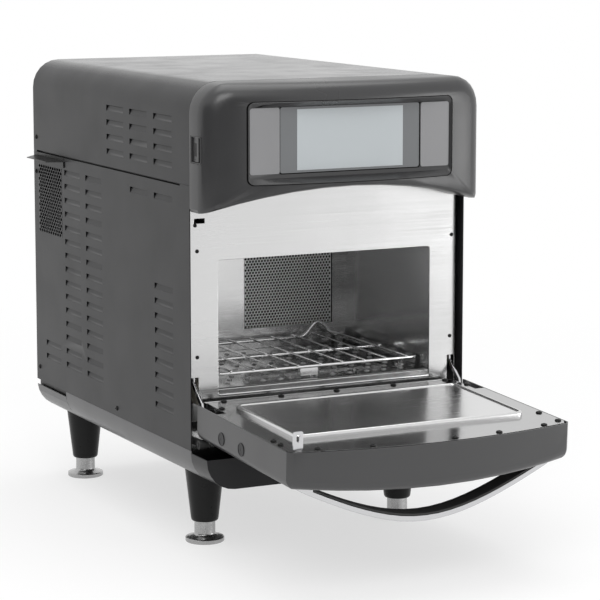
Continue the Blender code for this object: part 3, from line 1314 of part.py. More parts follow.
def choke_plate():
    """The raised plate that closes the oven opening, with a rounded rim around its dished middle."""
    half = CHOKE_WIDTH / 2
    start = DOOR_INNER_FACE + GAP
    shape = bmesh.new()
    grow_box(shape, (-half, start, CHOKE_BOTTOM), (half, start + CHOKE_HEIGHT, CHOKE_TOP))
    made = add("choke_plate", mesh_from(shape, "choke_plate"), "stainless", DOOR_PIVOT)
    dish = bmesh.new()
    rim = CHOKE_RIM
    low = (-half + rim, start + CHOKE_HEIGHT - CHOKE_DISH, CHOKE_BOTTOM + rim)
    grow_box(dish, low, (half - rim, start + CHOKE_HEIGHT + OVERRUN, CHOKE_TOP - rim))
    round_edges(made, CHOKE_DISH * 2, 2)
    use_tool(made, add("choke_dish", mesh_from(dish, "choke_dish"), "stainless", DOOR_PIVOT))


def latch_tab():
    """The bright tab with a hole that enters the latch slot when the door shuts."""
    start = DOOR_INNER_FACE + GAP
    edge = rounded_rectangle(
        TAB_CENTRE_X - TAB_WIDTH / 2, start, TAB_CENTRE_X + TAB_WIDTH / 2, start + TAB_REACH, TAB_CORNER
    )
    high = start + TAB_REACH - TAB_WIDTH / 3
    hole = rounded_rectangle(
        TAB_CENTRE_X - TAB_HOLE_WIDTH / 2,
        high - TAB_HOLE_HEIGHT,
        TAB_CENTRE_X + TAB_HOLE_WIDTH / 2,
        high,
        TAB_HOLE_WIDTH / 2 - GAP,
    )
    plate("latch_tab", [edge, hole], TAB_THICKNESS, "chrome", (0, 0, TAB_ABOVE_HINGE), parent=DOOR_PIVOT)


def handle_reach(x):
    """How far the handle's inner side stands in front of the hinge line at x."""
    return HANDLE_REACH - HANDLE_BOW * (math.hypot(1, x / HANDLE_BOW_LENGTH) - 1)


def handle_end(x):
    """The inner side of the bar near its ends, where it rests on the door."""
    return max(handle_reach(x), GAP - door_front(x))


def handle():
    """The bowed handle: a bright bar that rests on the door at both ends, and a black liner inside it."""
    span = HANDLE_LINER_HALF_SPAN
    xs = [span * (2 * i / HANDLE_STEPS - 1) for i in range(HANDLE_STEPS + 1)]
    outer_rise = HANDLE_LINER + GAP + HANDLE_THICKNESS
    ends = [HANDLE_HALF_SPAN, (HANDLE_HALF_SPAN + span) / 2, span]
    inner = [(-x, -handle_end(x)) for x in ends]
    inner += [(x, -handle_reach(x) - HANDLE_LINER - GAP) for x in xs]
    inner += [(x, -handle_end(x)) for x in ends[::-1]]
    outer = [(x, -handle_reach(x) - outer_rise) for x in [*ends[:-1], *xs[::-1], *(-x for x in ends[-2::-1])]]
    middle = (0, 0, HANDLE_ABOVE_HINGE)
    bar = plate("handle_bar", [inner + outer], HANDLE_DEPTH, "chrome", middle, parent=DOOR_PIVOT)
    shade_round(as_mesh(bar))
    share = 1 - GAP / span
    inner = [(x * share, -handle_reach(x)) for x in xs]
    outer = [(x * share, -handle_reach(x) - HANDLE_LINER) for x in xs]
    plate("handle_liner", [inner + outer[::-1]], HANDLE_DEPTH, "rubber", middle, parent=DOOR_PIVOT)


def arm_outline():
    """The bent hinge arm seen from the side: an eye at the hinge line and a strip to its seat."""
    eye = Vector((HINGE_SETBACK, HINGE_HEIGHT))
    line = [eye, Vector(ARM_ELBOW), Vector(ARM_SLOT_POINT), Vector(ARM_END)]
    half = ARM_WIDTH / 2
    left, right = [], []
    for i, point in enumerate(line[1:], 1):
        before = (point - line[i - 1]).normalized()
        after = (line[i + 1] - point).normalized() if i + 1 < len(line) else before
        along = (before + after).normalized()
        across = Vector((-along.y, along.x))
        left.append(point + across * half)
        right.append(point - across * half)
    first = (line[1] - line[0]).normalized()
    lean = math.degrees(math.atan2(first.y, first.x))
    spread = math.degrees(math.asin(half / ARM_EYE_RADIUS))
    round_part = arc(tuple(eye), ARM_EYE_RADIUS, lean + spread, lean + 360 - spread, ARM_EYE_STEPS)
    return [*round_part, *map(tuple, right), *map(tuple, left[::-1])]


def hinges():
    """The fixed hinge arms and the hinge pins in the door."""
    eye = (HINGE_SETBACK, HINGE_HEIGHT)
    for name, side in (("hinge_arm_left", -1), ("hinge_arm_right", 1)):
        bore = ring(eye, PIN_RADIUS + PIN_CLEARANCE, PIN_SEGMENTS)
        middle = (side * ARM_FROM_CENTRE, 0, 0)
        plate(name, [arm_outline(), bore], ARM_THICKNESS, "chrome", middle, FACING_SIDE)
    inner = DOOR_HALF_WIDTH - DOOR_WALL - GAP - HINGE_NOTCH_WIDTH
    for name, side in (("hinge_pin_left", -1), ("hinge_pin_right", 1)):
        start = side * (inner + GAP)
        end = side * (DOOR_HALF_WIDTH - DOOR_WALL - GAP)
        rods(name, [((start, 0, 0), (end, 0, 0), PIN_RADIUS)], "chrome", DOOR_PIVOT, PIN_SEGMENTS)


def door_stop(name, side):
    """A bumper on a pin, held by a bracket from the front sheet, that the open door rests on."""
    x = side * STOP_FROM_CENTRE
    half = STOP_WIDTH / 2
    shape = bmesh.new()
    ends = (x - half, STOP_SETBACK, STOP_HEIGHT), (x + half, STOP_SETBACK, STOP_HEIGHT)
    grow_rod(shape, *ends, STOP_RADIUS, PIN_SEGMENTS)
    made = add(name, mesh_from(shape, name), "rubber")
    extras = bmesh.new()
    half += STOP_PIN_REACH
    ends = (x - half, STOP_SETBACK, STOP_HEIGHT), (x + half, STOP_SETBACK, STOP_HEIGHT)
    grow_rod(extras, *ends, STOP_PIN_RADIUS, SHAFT_SEGMENTS)
    low = (x - STOP_ARM_THICKNESS / 2, STOP_SETBACK, STOP_HEIGHT - STOP_ARM_WIDTH / 2)
    high = (x + STOP_ARM_THICKNESS / 2, FASCIA_SETBACK - GAP, STOP_HEIGHT + STOP_ARM_WIDTH / 2)
    grow_box(extras, low, high)
    use_tool(made, add(name + "_bracket", mesh_from(extras, name), "rubber"), "UNION")
    shade_round(made)


def leg_and_foot(end_name, x, y):
    """A tapered leg with a bore, and the foot whose stem slides in it."""
    top = BASE_HEIGHT - GAP
    bore = FOOT_STEM_RADIUS + FOOT_STEM_CLEARANCE
    deep = LEG_BOTTOM_HEIGHT + FOOT_STEM_INSIDE + FOOT_RISE + LEG_BORE_EXTRA
    profile = [
        (0, top),
        (LEG_TOP_RADIUS, top),
        (LEG_BOTTOM_RADIUS, LEG_BOTTOM_HEIGHT),
        (bore, LEG_BOTTOM_HEIGHT),
        (bore, deep),
        (0, deep),
    ]
    turned("leg_" + end_name, profile, "cast", (x, y, 0))
    rim = SHEET
    profile = [
        (0, LEG_BOTTOM_HEIGHT + FOOT_STEM_INSIDE),
        (FOOT_STEM_RADIUS, LEG_BOTTOM_HEIGHT + FOOT_STEM_INSIDE),
        (FOOT_STEM_RADIUS, FOOT_FLANGE_HEIGHT + rim),
        (FOOT_FLANGE_RADIUS - rim, FOOT_FLANGE_HEIGHT),
        (FOOT_FLANGE_RADIUS, FOOT_FLANGE_HEIGHT - rim),
        (FOOT_FLANGE_RADIUS, 0),
        (0, 0),
    ]
    turned("foot_" + end_name, profile, "chrome", (x, y, 0))


def legs():
    """Four legs with their feet."""
    for end_name, y in (("front", LEG_FRONT), ("rear", LEG_REAR)):
        for side_name, x in (("left", -LEG_FROM_CENTRE), ("right", LEG_FROM_CENTRE)):
            leg_and_foot(f"{end_name}_{side_name}", x, y)


def blower():
    """The circulation wheel, its motor and the heating coil around it, in a box behind the grille."""
    x = GRILLE_CENTRE_X
    z = (GRILLE_BOTTOM + GRILLE_TOP) / 2
    start = DUCT_START + BLOWER_SETBACK
    end = start + BLOWER_DEPTH
    shape = bmesh.new()
    grow_rod(shape, (x, end - BLOWER_PLATE, z), (x, end, z), BLOWER_RADIUS)
    wheel = add("blower_wheel", mesh_from(shape, "blower_wheel"), "motor_steel")
    blades = bmesh.new()
    for i in range(BLOWER_BLADES):
        around = Matrix.Translation((x, 0, z)) @ Matrix.Rotation(2 * math.pi * i / BLOWER_BLADES, 4, "Y")
        place = Matrix.Translation((BLOWER_RADIUS - BLOWER_BLADE_DEPTH * BLADE_SHARE, (start + end) / 2, 0))
        lean = Matrix.Rotation(BLOWER_BLADE_ANGLE, 4, "Y")
        size = Matrix.Diagonal((BLOWER_BLADE_DEPTH, BLOWER_DEPTH - BLOWER_PLATE, BLOWER_BLADE_THICKNESS, 1))
        bmesh.ops.create_cube(blades, size=1, matrix=around @ place @ lean @ size)
    back = end + MOTOR_STANDOFF
    grow_rod(blades, (x, end - BLOWER_DEPTH / 2, z), (x, back - GAP, z), MOTOR_SHAFT_RADIUS, SHAFT_SEGMENTS)
    use_tool(wheel, add("blower_blades", mesh_from(blades, "blower_blades"), "motor_steel"), "UNION")
    rods("blower_motor", [((x, back, z), (x, back + MOTOR_LENGTH, z), MOTOR_RADIUS)], "motor_steel")
    points = []
    for i in range(HEATER_TURNS * HEATER_STEPS + 1):
        turn = 2 * math.pi * i / HEATER_STEPS
        along = start + HEATER_TUBE + HEATER_PITCH * i / HEATER_STEPS
        points.append((x + HEATER_RADIUS * math.cos(turn), along, z + HEATER_RADIUS * math.sin(turn)))
    tube("heater_coil", points, HEATER_TUBE, "dark_stainless", resolution=1)


def blower_box():
    """The box behind the grille that holds the wheel, the coil and the catalyst, and carries the motor."""
    x = GRILLE_CENTRE_X
    z = (GRILLE_BOTTOM + GRILLE_TOP) / 2
    half = HEATER_RADIUS + HEATER_TUBE + GAP
    bottom = z - half - 2 * GAP - CATALYST_HEIGHT
    end = DUCT_START + BLOWER_SETBACK + BLOWER_DEPTH + MOTOR_STANDOFF - GAP
    shape = bmesh.new()
    low = (x - half - SHEET, DUCT_START, bottom - SHEET)
    grow_box(shape, low, (x + half + SHEET, end, z + half + SHEET))
    box = add("blower_box", mesh_from(shape, "blower_box"), "dark_stainless")
    hollow = bmesh.new()
    grow_box(hollow, (x - half, DUCT_START - OVERRUN, bottom), (x + half, end - SHEET, z + half))
    bore = (x, end - JOIN_DEPTH, z), (x, end + OVERRUN, z)
    grow_rod(hollow, *bore, MOTOR_SHAFT_RADIUS + SHEET, SHAFT_SEGMENTS)
    use_tool(box, add("box_hollow", mesh_from(hollow, "box_hollow"), "dark_stainless"))


def catalyst():
    """The slotted catalyst block under the return duct."""
    start = DUCT_START + BLOWER_SETBACK
    top = (GRILLE_BOTTOM + GRILLE_TOP) / 2 - HEATER_RADIUS - HEATER_TUBE - 2 * GAP
    x = GRILLE_CENTRE_X
    low = (x - CATALYST_WIDTH / 2, start, top - CATALYST_HEIGHT)
    shape = bmesh.new()
    grow_box(shape, low, (x + CATALYST_WIDTH / 2, start + CATALYST_DEPTH, top))
    block = add("catalyst_block", mesh_from(shape, "catalyst_block"), "ceramic")
    slots = bmesh.new()
    pitch = CATALYST_WIDTH / CATALYST_SLOTS
    for i in range(CATALYST_SLOTS):
        middle = low[0] + pitch * (i + CELL_MIDDLE)
        half = pitch * CATALYST_SLOT_SHARE / 2
        side = CATALYST_DEPTH * CATALYST_END_SHARE
        corner = (middle - half, start + side, low[2] - OVERRUN)
        grow_box(slots, corner, (middle + half, start + CATALYST_DEPTH - side, top + OVERRUN))
    use_tool(block, add("catalyst_slots", mesh_from(slots, "catalyst_slots"), "ceramic"))


def microwave():
    """The magnetron, its waveguide over the chamber, the stirrer and its motor."""
    floor = waveguide_port()
    x = MAGNETRON_X
    start = MAGNETRON_Y - MAGNETRON_DEPTH / 2
    shape = bmesh.new()
    low = (x - MAGNETRON_WIDTH / 2, start, floor + WAVEGUIDE_HEIGHT + GAP)
    high = (x + MAGNETRON_WIDTH / 2, start + MAGNETRON_DEPTH, low[2] + MAGNETRON_HEIGHT)
    grow_box(shape, low, high)
    made = add("magnetron", mesh_from(shape, "magnetron"), "motor_steel")
    fins = bmesh.new()
    pitch = MAGNETRON_HEIGHT / (MAGNETRON_FINS + 1)
    for i in range(MAGNETRON_FINS):
        z = low[2] + pitch * (i + 1)
        reach = MAGNETRON_FIN_REACH
        corner = (low[0] - reach, low[1] + reach, z)
        grow_box(fins, corner, (high[0] + reach, high[1] - reach, z + MAGNETRON_FIN_THICKNESS))
    use_tool(made, add("magnetron_fins", mesh_from(fins, "magnetron_fins"), "motor_steel"), "UNION")
    guide_end = start + MAGNETRON_DEPTH
    guide_low = (x - WAVEGUIDE_WIDTH / 2, guide_end - WAVEGUIDE_LENGTH, floor)
    guide = bmesh.new()
    grow_box(guide, guide_low, (x + WAVEGUIDE_WIDTH / 2, guide_end, floor + WAVEGUIDE_HEIGHT))
    duct = add("waveguide", mesh_from(guide, "waveguide"), "stainless")
    hollow = bmesh.new()
    inner_low = (guide_low[0] + SHEET, guide_low[1] - OVERRUN, floor + SHEET)
    inner_high = (x + WAVEGUIDE_WIDTH / 2 - SHEET, guide_end - SHEET, floor + WAVEGUIDE_HEIGHT - SHEET)
    grow_box(hollow, inner_low, inner_high)
    middle = guide_low[1] + STIRRER_RADIUS + JOIN_DEPTH
    bore = ((x, middle, floor + WAVEGUIDE_HEIGHT / 2), (x, middle, floor + WAVEGUIDE_HEIGHT + OVERRUN))
    grow_rod(hollow, *bore, MOTOR_SHAFT_RADIUS + SHEET, SHAFT_SEGMENTS)
    use_tool(duct, add("waveguide_hollow", mesh_from(hollow, "waveguide_hollow"), "stainless"))
    stirrer(x, middle, floor)


def stirrer(x, y, floor):
    """The turning stirrer inside the waveguide and the small motor above it."""
    height = floor + WAVEGUIDE_HEIGHT / 2
    top = floor + WAVEGUIDE_HEIGHT
    shape = bmesh.new()
    grow_rod(shape, (x, y, height - JOIN_DEPTH), (x, y, top), MOTOR_SHAFT_RADIUS, SHAFT_SEGMENTS)
    made = add("field_stirrer", mesh_from(shape, "field_stirrer"), "stainless")
    blades = bmesh.new()
    for i in range(STIRRER_BLADES):
        turn = Matrix.Rotation(2 * math.pi * i / STIRRER_BLADES, 4, "Z")
        around = Matrix.Translation((x, y, height)) @ turn
        place = Matrix.Translation((STIRRER_RADIUS / 2, 0, 0)) @ Matrix.Rotation(BLOWER_BLADE_ANGLE, 4, "X")
        size = Matrix.Diagonal((STIRRER_RADIUS, STIRRER_BLADE_WIDTH, STIRRER_BLADE_THICKNESS, 1))
        bmesh.ops.create_cube(blades, size=1, matrix=around @ place @ size)
    use_tool(made, add("stirrer_blades", mesh_from(blades, "stirrer_blades"), "stainless"), "UNION")
    low = top + GAP
    run = ((x, y, low), (x, y, low + STIRRER_MOTOR_HEIGHT), STIRRER_MOTOR_RADIUS)
    rods("stirrer_motor", [run], "motor_steel")


def power_parts():
    """The high-voltage transformer and capacitor on the base pan's floor."""
    floor = BASE_HEIGHT + THICK_SHEET + GAP
    x = TRANSFORMER_X
    y = TRANSFORMER_Y
    shape = bmesh.new()
    half = (TRANSFORMER_WIDTH / 2, TRANSFORMER_DEPTH / 2)
    grow_box(shape, (x - half[0], y - half[1], floor), (x + half[0], y + half[1], floor + TRANSFORMER_HEIGHT))
    core = add("transformer", mesh_from(shape, "transformer"), "motor_steel")
    coil = bmesh.new()
    margin = (TRANSFORMER_HEIGHT - COIL_HEIGHT) / 2
    low = (x - half[0] / 2, y - half[1] - COIL_REACH, floor + margin)
    high = (x + half[0] / 2, y + half[1] + COIL_REACH, floor + TRANSFORMER_HEIGHT - margin)
    grow_box(coil, low, high)
    use_tool(core, add("transformer_coil", mesh_from(coil, "transformer_coil"), "copper"), "UNION")
    bottom = Vector((CAPACITOR_X, CAPACITOR_Y, floor))
    run = (bottom, bottom + Vector((0, 0, CAPACITOR_HEIGHT)), CAPACITOR_RADIUS)
    rods("capacitor", [run], "motor_steel")


def cooling_fan():
    """The fan behind the rear slots: a square frame and a bladed wheel."""
    back = BODY_DEPTH - REAR_PANEL_INSET - THICK_SHEET - GAP
    front = back - FAN_FRAME_DEPTH
    x, z = FAN_X, FAN_HEIGHT
    edge = rectangle(x - FAN_FRAME, z - FAN_FRAME, x + FAN_FRAME, z + FAN_FRAME)
    hole = ring((x, z), FAN_RADIUS + FAN_TIP_CLEARANCE, ROUND_SEGMENTS)
    middle = (0, (front + back) / 2, 0)
    frame = as_mesh(plate("fan_frame", [edge, hole], FAN_FRAME_DEPTH, "rubber", middle, FACING_FRONT))
    bars = bmesh.new()
    bar = (FAN_FRAME_DEPTH - FAN_DEPTH - FAN_TIP_CLEARANCE) / 2
    grow_rod(bars, (x, front + GAP, z), (x, front + bar, z), FAN_HUB_RADIUS)
    for turn in FAN_BAR_TURNS:
        size = Matrix.Diagonal((2 * FAN_FRAME - bar, bar - FAN_BAR_CLEARANCE, 2 * bar, 1))
        place = Matrix.Translation((x, front + bar / 2, z)) @ Matrix.Rotation(turn, 4, "Y")
        bmesh.ops.create_cube(bars, size=1, matrix=place @ size)
    use_tool(frame, add("fan_bars", mesh_from(bars, "fan_bars"), "rubber"), "UNION")
    start = front + bar + GAP
    shape = bmesh.new()
    grow_rod(shape, (x, start, z), (x, start + FAN_DEPTH, z), FAN_HUB_RADIUS)
    wheel = add("cooling_fan", mesh_from(shape, "cooling_fan"), "rubber")
    blades = bmesh.new()
    for i in range(FAN_BLADES):
        turn = Matrix.Rotation(2 * math.pi * i / FAN_BLADES, 4, "Y")
        around = Matrix.Translation((x, start + FAN_DEPTH / 2, z)) @ turn
        reach = FAN_RADIUS - FAN_HUB_RADIUS / 2
        place = Matrix.Translation(((FAN_RADIUS + FAN_HUB_RADIUS / 2) / 2, 0, 0))
        lean = Matrix.Rotation(BLOWER_BLADE_ANGLE, 4, "X")
        size = Matrix.Diagonal((reach, FAN_BLADE_THICKNESS, FAN_DEPTH, 1))
        bmesh.ops.create_cube(blades, size=1, matrix=around @ place @ lean @ size)
    use_tool(wheel, add("fan_blades", mesh_from(blades, "fan_blades"), "rubber"), "UNION")


def power_gland():
    """The gland of the power cord in the rear panel."""
    x, z = GLAND_X, GLAND_HEIGHT
    inside = BODY_DEPTH - REAR_PANEL_INSET - THICK_SHEET - GLAND_NUT_DEPTH
    face = BODY_DEPTH - REAR_PANEL_INSET + GAP
    profile = [
        (GLAND_BORE_RADIUS, BODY_DEPTH + GLAND_REACH),
        (GLAND_RADIUS - SHEET, BODY_DEPTH + GLAND_REACH),
        (GLAND_NUT_RADIUS, face + GLAND_NUT_DEPTH),
        (GLAND_NUT_RADIUS, face),
        (GLAND_RADIUS, face),
        (GLAND_RADIUS, inside),
        (GLAND_BORE_RADIUS, inside),
    ]
    turned("power_gland", profile, "rubber", (x, 0, z), (-math.pi / 2, 0, 0), closed=True)


def build():
    """Builds the whole oven."""
    side_panel("side_panel_left", -1)
    side_panel("side_panel_right", 1)
    top_shell()
    base()
    rear_panel()
    vent_hood("vent_hood_left", -1)
    vent_hood("vent_hood_right", 1)
    control_housing()
    usb_port()
    screen()
    front_cap()
    front_fascia()
    interlock()
    chamber()
    return_grille()
    chamber_plates()
    insulation()
    rack_rails()
    rack()
    door_shell()
    door_liner()
    choke_plate()
    latch_tab()
    handle()
    hinges()
    door_stop("door_stop_left", -1)
    door_stop("door_stop_right", 1)
    legs()
    blower()
    blower_box()
    catalyst()
    microwave()
    power_parts()
    cooling_fan()
    power_gland()


build()
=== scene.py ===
"""Looks of the countertop speed oven: its finishes, fine pieces, studio and camera.

The CAD model comes in as a fixed frame, and this script dresses it. Lengths are in metres, +X is to the
right, +Y to the back and +Z up, and the bench is Z = 0. Sizes that the CAD holds are read from its boxes.
"""

import json
import logging
import math
from dataclasses import dataclass
from enum import Enum

import bmesh
import bpy
import numpy as np
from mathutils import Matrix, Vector

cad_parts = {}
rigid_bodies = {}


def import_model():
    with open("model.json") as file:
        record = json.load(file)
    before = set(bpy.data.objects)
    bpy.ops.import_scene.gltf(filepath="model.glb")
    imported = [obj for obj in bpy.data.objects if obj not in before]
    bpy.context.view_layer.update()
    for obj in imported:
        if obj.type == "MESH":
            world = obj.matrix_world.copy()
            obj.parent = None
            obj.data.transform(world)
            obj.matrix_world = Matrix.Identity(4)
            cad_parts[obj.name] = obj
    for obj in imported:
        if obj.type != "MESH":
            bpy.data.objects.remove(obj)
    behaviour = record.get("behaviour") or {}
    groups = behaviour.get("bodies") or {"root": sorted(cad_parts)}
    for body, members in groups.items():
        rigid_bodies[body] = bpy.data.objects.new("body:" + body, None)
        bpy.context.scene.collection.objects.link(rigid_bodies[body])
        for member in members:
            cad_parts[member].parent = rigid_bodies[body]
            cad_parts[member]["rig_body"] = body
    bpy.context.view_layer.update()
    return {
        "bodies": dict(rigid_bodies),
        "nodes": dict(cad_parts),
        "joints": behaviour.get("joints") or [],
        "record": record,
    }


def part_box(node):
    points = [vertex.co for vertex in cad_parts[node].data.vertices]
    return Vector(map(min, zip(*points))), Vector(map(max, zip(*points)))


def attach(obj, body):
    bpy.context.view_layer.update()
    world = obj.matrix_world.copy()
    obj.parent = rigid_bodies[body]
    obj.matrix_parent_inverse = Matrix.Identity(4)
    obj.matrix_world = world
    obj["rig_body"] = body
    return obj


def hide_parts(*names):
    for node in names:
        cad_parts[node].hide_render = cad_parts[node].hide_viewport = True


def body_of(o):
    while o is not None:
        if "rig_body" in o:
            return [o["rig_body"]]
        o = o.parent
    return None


LOG = logging.getLogger("speed_oven")
MERGE_DISTANCE = 0.000002
FLATNESS = math.radians(0.4)
CREASE = math.radians(32)
HINGE_SETBACK = -0.015
TURN = 2 * math.pi

Triple = tuple[float, float, float]
Pairs = tuple[tuple[float, float], ...]
Triples = tuple[Triple, ...]
Socket = bpy.types.NodeSocket
Material = bpy.types.Material
Piece = bpy.types.Object

ALONG_X: Triple = (1.0, 0.0, 0.0)
ALONG_Y: Triple = (0.0, 1.0, 0.0)
ALONG_Z: Triple = (0.0, 0.0, 1.0)


class Slot(Enum):
    """The finishes of the oven, named as the record names its material slots."""

    BLACK_PAINT = "black_paint"
    BASE_PAINT = "base_paint"
    HOUSING = "housing_plastic"
    STAINLESS = "stainless"
    DARK_STAINLESS = "dark_stainless"
    CHROME = "chrome"
    GLASS = "glass"
    DISPLAY = "display"
    BOARD = "board"
    RUBBER = "rubber"
    CAST = "cast"
    WOOL = "wool"
    MOTOR = "motor_steel"
    CERAMIC = "ceramic"


class Brushing(Enum):
    """The direction of a steel sheet's brushed lines, as a stretch of its coordinates."""

    ALONG_X = (5.0, 900.0, 900.0)
    ALONG_Y = (900.0, 5.0, 900.0)


class Side(Enum):
    """The two sides of the oven."""

    LEFT = -1
    RIGHT = 1

    @property
    def word(self) -> str:
        """The side's word in the names of pieces."""
        return self.name.lower()

    @property
    def outwards(self) -> Triple:
        """The direction out of the side."""
        return (float(self.value), 0.0, 0.0)


# Surfaces worked out as arrays


def grid_quads(rows: int, columns: int, closed: bool = True) -> np.ndarray:
    """Joins a grid of points with quads: corner (i, j) to (i, j+1), (i+1, j+1) and (i+1, j).

    Args:
        rows: number of rows of points.
        columns: number of points in a row.
        closed: whether the last column joins the first.

    Returns:
        An array with four point numbers a quad.
    """
    i = np.arange(rows - 1)[:, None]
    j = np.arange(columns if closed else columns - 1)[None, :]
    after = (j + 1) % columns
    corners = (i * columns + j, i * columns + after, (i + 1) * columns + after, (i + 1) * columns + j)
    return np.stack(corners, axis=-1).reshape(-1, 4)


def axes_along(direction: Triple) -> tuple[np.ndarray, np.ndarray, np.ndarray]:
    """Two directions across a given one: u = d x a helper, and v = d x u, all of length one.

    Args:
        direction: the direction to build on.

    Returns:
        u, v and the direction itself, as unit arrays.
    """
    along = np.asarray(direction, dtype=float)
    along = along / np.linalg.norm(along)
    helper = np.array(ALONG_X if abs(along[0]) < 0.9 else ALONG_Y)
    u = np.cross(along, helper)
    u = u / np.linalg.norm(u)
    return u, np.cross(along, u), along


def ring_points(radius: np.ndarray, height: np.ndarray, centre: Triple, axis: Triple) -> np.ndarray:
    """Rings round an axis: P(i, a) = centre + axis h_i + r_i(a) (u cos a + v sin a).

    Args:
        radius: a row of radii for each ring, one for each point round it.
        height: each ring's height along the axis.
        centre: the point at height zero on the axis.
        axis: the direction of the axis.

    Returns:
        A grid of points, one row for each ring.
    """
    u, v, along = axes_along(axis)
    angle = np.linspace(0, TURN, radius.shape[1], endpoint=False)
    circle = u * np.cos(angle)[:, None] + v * np.sin(angle)[:, None]
    return np.asarray(centre) + along * height[:, None, None] + circle[None] * radius[:, :, None]


def turned_points(profile: np.ndarray, centre: Triple, axis: Triple, steps: int) -> np.ndarray:
    """A turned shape: a round ring for each of a profile's rows of radius and height.

    Args:
        profile: rows of radius and height.
        centre: the point at height zero on the axis.
        axis: the direction of the axis.
        steps: points round the axis.

    Returns:
        A grid of points, one row for each row of the profile.
    """
    return ring_points(np.repeat(profile[:, :1], steps, axis=1), profile[:, 1], centre, axis)


def tube_points(path: np.ndarray, radius: float, steps: int, across: Triple) -> np.ndarray:
    """A wire with domed ends: P(i, a) = path_i + r_i (side_i cos a + lift_i sin a).

    side is the path's tangent x across, and lift is side x tangent. The radius falls to nothing
    at both ends along a quarter circle, so the wire is closed.

    Args:
        path: points along the wire's middle.
        radius: the wire's radius.
        steps: points round the wire.
        across: a direction that the path never runs along.

    Returns:
        A grid of points, one row for each place along the wire.
    """
    dome = np.linspace(0, math.pi / 2, 4)
    reach, swell = (radius * np.cos(dome))[:, None], radius * np.sin(dome)
    start = path[0] - (path[1] - path[0]) / np.linalg.norm(path[1] - path[0]) * reach
    end = path[-1] + (path[-1] - path[-2]) / np.linalg.norm(path[-1] - path[-2]) * reach
    middle = np.concatenate([start, path[1:-1], end[::-1]])
    size = np.concatenate([swell, np.full(len(path) - 2, radius), swell[::-1]])
    tangent = np.gradient(middle, axis=0)
    tangent = tangent / np.linalg.norm(tangent, axis=1)[:, None]
    side = np.cross(tangent, np.asarray(across))
    side = side / np.linalg.norm(side, axis=1)[:, None]
    lift = np.cross(side, tangent)
    angle = np.linspace(0, TURN, steps, endpoint=False)[None, :, None]
    ring = side[:, None] * np.cos(angle) + lift[:, None] * np.sin(angle)
    return middle[:, None] + ring * size[:, None, None]


def rounded_loop(half_width: float, half_height: float, corner: float, per_corner: int) -> np.ndarray:
    """A rectangle with round corners, as points (across, up) that run anticlockwise.

    Corner k is centred at the rectangle's corner pulled in by the radius r, and its points are
    centre + r (cos a, sin a), with a running over a quarter turn from k quarter turns.

    Args:
        half_width: half the rectangle's width.
        half_height: half its height.
        corner: radius of its corners.
        per_corner: points in each corner.

    Returns:
        An array of points.
    """
    quarter = np.linspace(0, math.pi / 2, per_corner)
    angle = (quarter[None] + np.arange(4)[:, None] * math.pi / 2).ravel()
    sign_x = np.repeat([1, -1, -1, 1], per_corner)
    sign_y = np.repeat([1, 1, -1, -1], per_corner)
    x = sign_x * (half_width - corner) + corner * np.cos(angle)
    y = sign_y * (half_height - corner) + corner * np.sin(angle)
    return np.stack([x, y], axis=-1)


@dataclass(frozen=True)
class Plate:
    """A thin plate with round corners."""

    half_width: float
    half_height: float
    corner: float
    thickness: float

    def points(self, middle: Triple, across: Triple = ALONG_X, up: Triple = ALONG_Z) -> np.ndarray:
        """The plate as loops from its back over its rim to its front.

        Loop i is middle + s_i (a across + b up) + t_i normal, where (a, b) runs round a rounded
        rectangle, s is 0 at both middles and 1 at the rims, and t is half the thickness to each side.

        Args:
            middle: the plate's middle.
            across: the direction of its width.
            up: the direction of its height.

        Returns:
            A grid of points that closes on itself.
        """
        corner = min(self.corner, self.half_width, self.half_height)
        loop = rounded_loop(self.half_width, self.half_height, corner, 5)
        flat = loop[:, :1] * np.asarray(across) + loop[:, 1:] * np.asarray(up)
        scale = np.array([0.0, 1.0, 1.0, 0.0])[:, None, None]
        lift = np.array([-0.5, -0.5, 0.5, 0.5])[:, None, None] * self.thickness
        return np.asarray(middle) + flat[None] * scale + np.cross(across, up) * lift


def placed(name: str, data: bpy.types.ID) -> Piece:
    """Puts data into a new object of the scene, at the origin.

    Args:
        name: the object's name.
        data: a mesh, a light or a camera.

    Returns:
        The new object.
    """
    piece = bpy.data.objects.new(name, data)
    bpy.context.scene.collection.objects.link(piece)
    return piece


def mesh_piece(name: str, points: np.ndarray, faces: list[list[int]]) -> Piece:
    """Puts points and faces into a new object.

    Args:
        name: the piece's name.
        points: the points, in any grid shape.
        faces: lists of point numbers.

    Returns:
        The new object.
    """
    mesh = bpy.data.meshes.new(name)
    mesh.from_pydata(points.reshape(-1, 3).tolist(), [], faces)
    return placed(name, mesh)


def shade(piece: Piece) -> None:
    """Shades a piece smooth up to its creases."""
    piece.data.shade_smooth()
    piece.data.set_sharp_from_angle(angle=CREASE)


def weld(piece: Piece, closed: bool = True) -> None:
    """Merges a piece's doubles, turns the faces of a closed one outwards and shades it smooth.

    Args:
        piece: the piece to finish.
        closed: whether the mesh is a closed surface.
    """
    work = bmesh.new()
    work.from_mesh(piece.data)
    bmesh.ops.remove_doubles(work, verts=work.verts, dist=MERGE_DISTANCE)
    bmesh.ops.dissolve_degenerate(work, edges=work.edges, dist=MERGE_DISTANCE)
    if closed:
        bmesh.ops.recalc_face_normals(work, faces=work.faces)
    work.to_mesh(piece.data)
    work.free()
    shade(piece)


